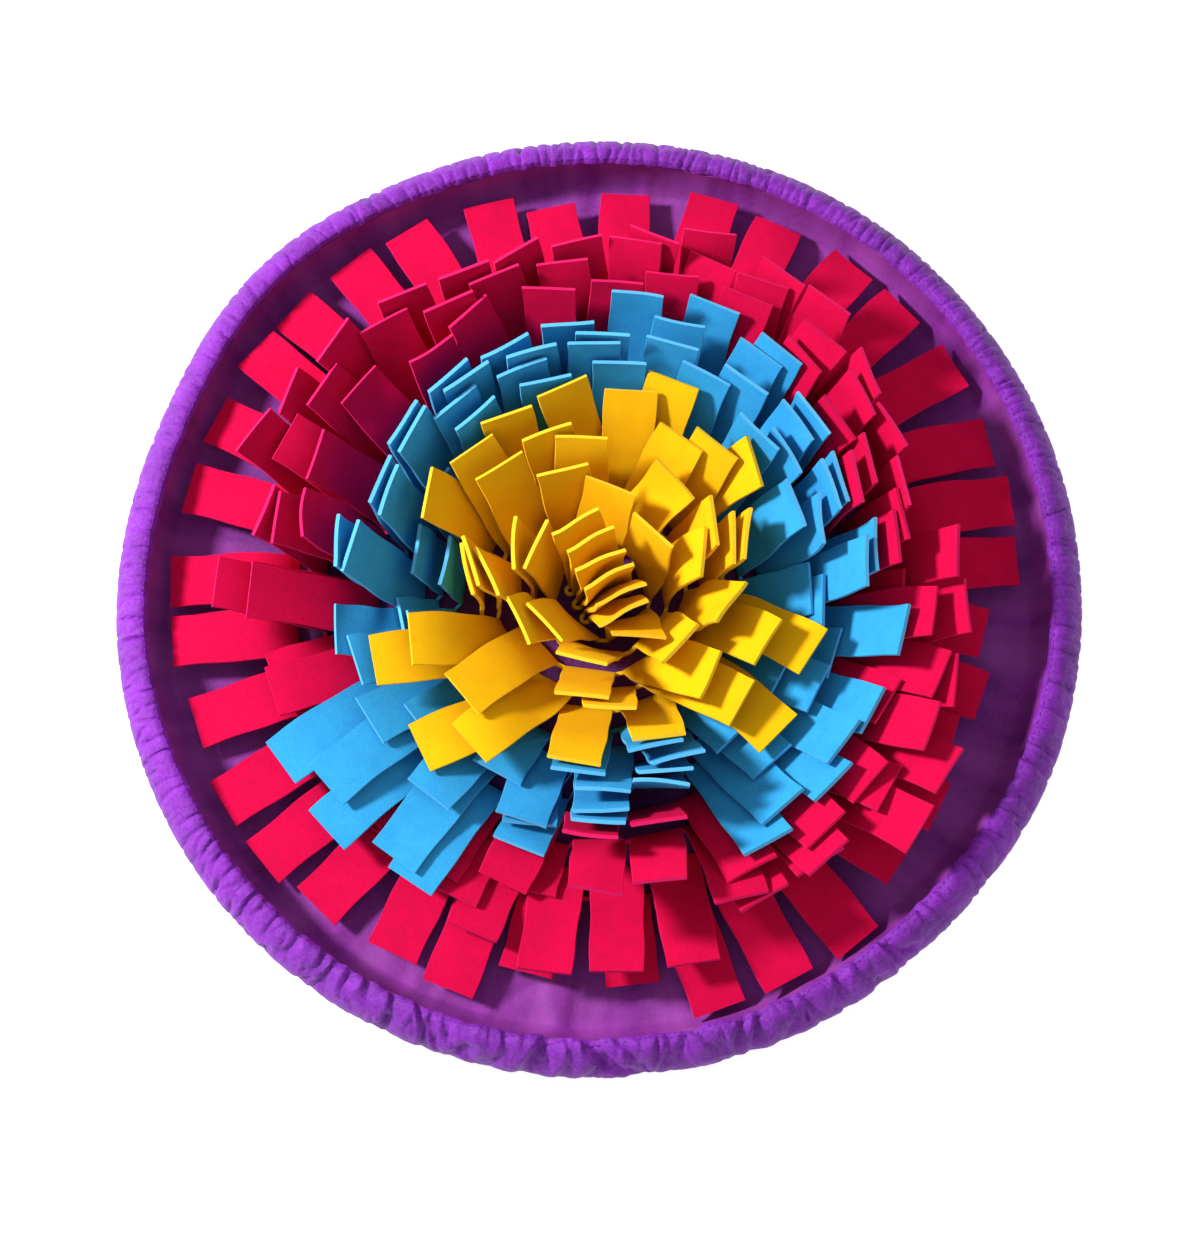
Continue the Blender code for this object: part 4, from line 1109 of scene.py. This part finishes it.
def noise_in(tree, scale, detail=3.0, roughness=0.6, at=None):
    made = node(tree, "ShaderNodeTexNoise", {"Vector": at or place_in(tree)},
                Scale=scale, Detail=detail, Roughness=roughness)
    return made.outputs["Fac"]


def threads_in(tree, direction, scale, distortion=0.0):
    made = node(tree, "ShaderNodeTexWave", {"Vector": place_in(tree)}, wave_type="BANDS",
                bands_direction=direction, Scale=scale, Distortion=distortion)
    return made.outputs["Fac"]


def ranged(tree, value, low, high, to_high=1.0):
    """The value's way from low to high, as 0 to to_high."""
    made = node(tree, "ShaderNodeMapRange", {"Value": value})
    for socket, number in (("From Min", low), ("From Max", high), ("To Max", to_high)):
        made.inputs[socket].default_value = number
    return made.outputs["Result"]


def mixed(tree, share, first, second):
    """A colour between two, each a colour or a socket."""
    made = node(tree, "ShaderNodeMix", data_type="RGBA")
    tree.links.new(share, made.inputs[0])
    for socket, colour in ((made.inputs[6], first), (made.inputs[7], second)):
        if isinstance(colour, tuple):
            socket.default_value = (*colour, 1.0)
        else:
            tree.links.new(colour, socket)
    return made.outputs[2]


def dressed(tree, shader, colour, bumps):
    """Gives the shader its colour, and bumps, each (height, distance in metres, strength)."""
    tree.links.new(colour, shader.inputs["Base Color"])
    normal = {}
    for height, distance, strength in bumps:
        bump = node(tree, "ShaderNodeBump", {"Height": height, **normal},
                    Distance=distance, Strength=strength)
        normal = {"Normal": bump.outputs["Normal"]}
    tree.links.new(normal["Normal"], shader.inputs["Normal"])


def felt(name, colour, dark, light):
    """Felt: pressed fibres, a faint cloudiness, and a painted highlight along its cut edges."""
    made, tree, shader = new_material(name, 0.9, 0.06, 0.05, light)
    body = mixed(tree, ranged(tree, noise_in(tree, 90.0), 0.35, 0.65), colour, dark)
    fibres = ranged(tree, noise_in(tree, 1400.0, 4.0, 0.7), 0.4, 0.75, 0.12)
    # Painted highlight: the cut edges are mixed part of the way towards the light colour.
    edge = node(tree, "ShaderNodeAttribute", attribute_name="cut_edge").outputs["Fac"]
    pale = mixed(tree, ranged(tree, edge, 0.0, 1.0, 0.3), mixed(tree, fibres, body, light), light)
    dressed(tree, shader, pale, ((noise_in(tree, 1100.0, 4.0, 0.7), 0.0004, 0.35),
                                 (noise_in(tree, 120.0, 2.0), 0.0008, 0.10)))
    return made


def radial_sheen_bands(tree):
    """A noise that is the same all along each line from the middle outwards, for the floor's
    painted sheen bands.
    """
    flat = node(tree, "ShaderNodeVectorMath", {0: place_in(tree)}, operation="MULTIPLY")
    flat.inputs[1].default_value = (1.0, 1.0, 0.0)
    ray = node(tree, "ShaderNodeVectorMath", {0: flat.outputs[0]}, operation="NORMALIZE")
    return noise_in(tree, SHEEN_BAND_SCALE, 2.0, 0.6, ray.outputs[0])


def satin(name, colour, dark, light, roughness, ruffle, of_floor=False):
    """Close-woven cloth with a soft shine, a fine plain weave and small wrinkles; on the floor,
    painted sheen bands and painted shade as well.
    """
    made, tree, shader = new_material(name, roughness, 0.16, 0.02, light)
    body = mixed(tree, ranged(tree, noise_in(tree, 60.0, 4.0), 0.35, 0.65), colour, dark)
    if of_floor:
        # Painted sheen: soft light radial bands mixed into the floor's colour.
        body = mixed(tree, ranged(tree, radial_sheen_bands(tree), 0.36, 0.64, SHEEN_BAND_SHARE), body, light)
        # Painted shade: the floor's colour darkens towards the middle, where the tabs stand close,
        # down to a share of its dark colour.
        out = node(tree, "ShaderNodeVectorMath", {0: place_in(tree)}, operation="LENGTH")
        painted_shade = ranged(tree, out.outputs["Value"], *(r * MM for r in SHADE_RADII))
        body = mixed(tree, painted_shade, tuple(SHADE_SHARE * c for c in dark), body)
    slubs = ranged(tree, noise_in(tree, 700.0, 3.0, 0.7), 0.3, 0.8, 0.25)
    weave = node(tree, "ShaderNodeMath", {k: threads_in(tree, axis, 1300.0, 0.6)
                                          for k, axis in enumerate("XY")}, operation="MULTIPLY")
    dressed(tree, shader, mixed(tree, slubs, body, light), (
        (weave.outputs[0], 0.00012, 0.5), (noise_in(tree, 260.0, 4.0), 0.0010, ruffle)))
    return made


def thread(name, colour, light):
    """Twisted sewing thread."""
    made, tree, shader = new_material(name, 0.6, 0.12, 0.1, light)
    twist = threads_in(tree, "DIAGONAL", 1800.0)
    dressed(tree, shader, mixed(tree, twist, colour, light), ((twist, 0.0001, 0.5),))
    return made


# ---- Stage, light and camera ----

CAMERA_DISTANCE = 1.15
CAMERA_ELEVATION = 76.0
CAMERA_TARGET = Vector((0.0, 0.0, 0.02))
FRAME_WIDE, FRAME_TALL = 1200, 1250
TARGET_PIXEL = (601, 585)
FOCAL_PIXELS = 2420
SENSOR = 36.0

KEY_PLACE = Vector((-1.28, 0.34, 1.06))
KEY_SIZE = 0.26
KEY_ENERGY = 53.0
WORLD_STRENGTH = 0.68
FLOOR_HALF = 15.0
FLOOR_GREY = 0.42
FLOOR_GLOW = 0.82  # keeps the pale floor as even as the photograph's
WHITE = (1.0, 1.0, 1.0, 1.0)


def put(name, data):
    made = bpy.data.objects.new(name, data)
    bpy.context.scene.collection.objects.link(made)
    return made


def faced(placed, place, towards):
    placed.location = place
    placed.rotation_euler = (towards - place).to_track_quat("-Z", "Y").to_euler()


def camera():
    made = bpy.data.cameras.new("view")
    placed = put("view", made)
    up = math.radians(CAMERA_ELEVATION)
    back = Vector((0.0, -math.cos(up), math.sin(up)))
    faced(placed, CAMERA_TARGET + back * CAMERA_DISTANCE, CAMERA_TARGET)
    made.sensor_width = SENSOR
    made.lens = SENSOR * FOCAL_PIXELS / FRAME_TALL
    made.shift_x = (FRAME_WIDE / 2 - TARGET_PIXEL[0]) / FRAME_TALL
    made.shift_y = (TARGET_PIXEL[1] - FRAME_TALL / 2) / FRAME_TALL
    made.dof.use_dof = False
    bpy.context.scene.camera = placed


def studio():
    mesh = bpy.data.meshes.new("studio_floor")
    mesh.from_pydata([(x * FLOOR_HALF, y * FLOOR_HALF, 0.0)
                      for x, y in ((-1, -1), (1, -1), (1, 1), (-1, 1))], [], [(0, 1, 2, 3)])
    paper, _, shader = new_material("pale_paper", 0.9, 0.12)
    shader.inputs["Base Color"].default_value = (FLOOR_GREY, FLOOR_GREY, FLOOR_GREY, 1.0)
    shader.inputs["Emission Color"].default_value = WHITE
    shader.inputs["Emission Strength"].default_value = FLOOR_GLOW
    mesh.materials.append(paper)
    floor = put("studio_floor", mesh)
    world = bpy.data.worlds.new("studio")
    world.use_nodes = True
    sky = world.node_tree.nodes["Background"]
    sky.inputs["Color"].default_value = WHITE
    sky.inputs["Strength"].default_value = WORLD_STRENGTH
    bpy.context.scene.world = world
    key = bpy.data.lights.new("key", "AREA")
    key.shape = "DISK"
    key.size = KEY_SIZE
    key.energy = KEY_ENERGY
    faced(put("key", key), KEY_PLACE, Vector())
    bpy.context.scene.view_settings.view_transform = "Standard"


# ---- The mat ----

ROWS_SEED = 3

SATINS = {
    # colour, dark, light, roughness, ruffle; on the floor the dark also gives the painted shade and
    # the light the painted sheen bands
    "violet": ((0.17, 0.006, 0.33), (0.11, 0.003, 0.22), (0.42, 0.13, 0.64), 0.5, 0.8),
    "plum": ((0.18, 0.014, 0.23), (0.12, 0.008, 0.16), (0.38, 0.08, 0.42), 0.62, 0.3),
}
THREAD = ((0.10, 0.008, 0.24), (0.20, 0.03, 0.42))
FELTS = {
    # colour, dark, light: the pale tone of the fibres, the sheen's tint and the painted highlight
    # on the cut edges
    "crimson": ((0.51, 0.0004, 0.038), (0.45, 0.0006, 0.034), (0.88, 0.03, 0.24)),
    "blue": ((0.022, 0.27, 0.56), (0.017, 0.24, 0.52), (0.22, 0.62, 0.86)),
    "yellow": ((0.74, 0.39, 0.001), (0.71, 0.36, 0.001), (0.90, 0.66, 0.06)),
}


def main():
    tray = tray_piece(satin("plum_satin", *SATINS["plum"], of_floor=True))
    casing, seam, lift = gathered_sheet(satin("violet_satin", *SATINS["violet"]))
    stitches = stitch_line(seam, lift, thread("violet_thread", *THREAD))
    felts = {colour: felt(colour + "_felt", *tones) for colour, tones in FELTS.items()}

    pile = Pile()
    dice = random.Random(ROWS_SEED)
    rows = [("yellow_6", heart_tabs(pile)), ("crimson_1", lying_row(pile))]
    rows += [(row[0], row_tabs(pile, row, dice)) for row in ROWS]
    for name, tabs in rows:
        colour = name.split("_")[0]
        band = felt_band(name, tabs, pile, felts[colour], name == "yellow_6")


main()
studio()
camera()
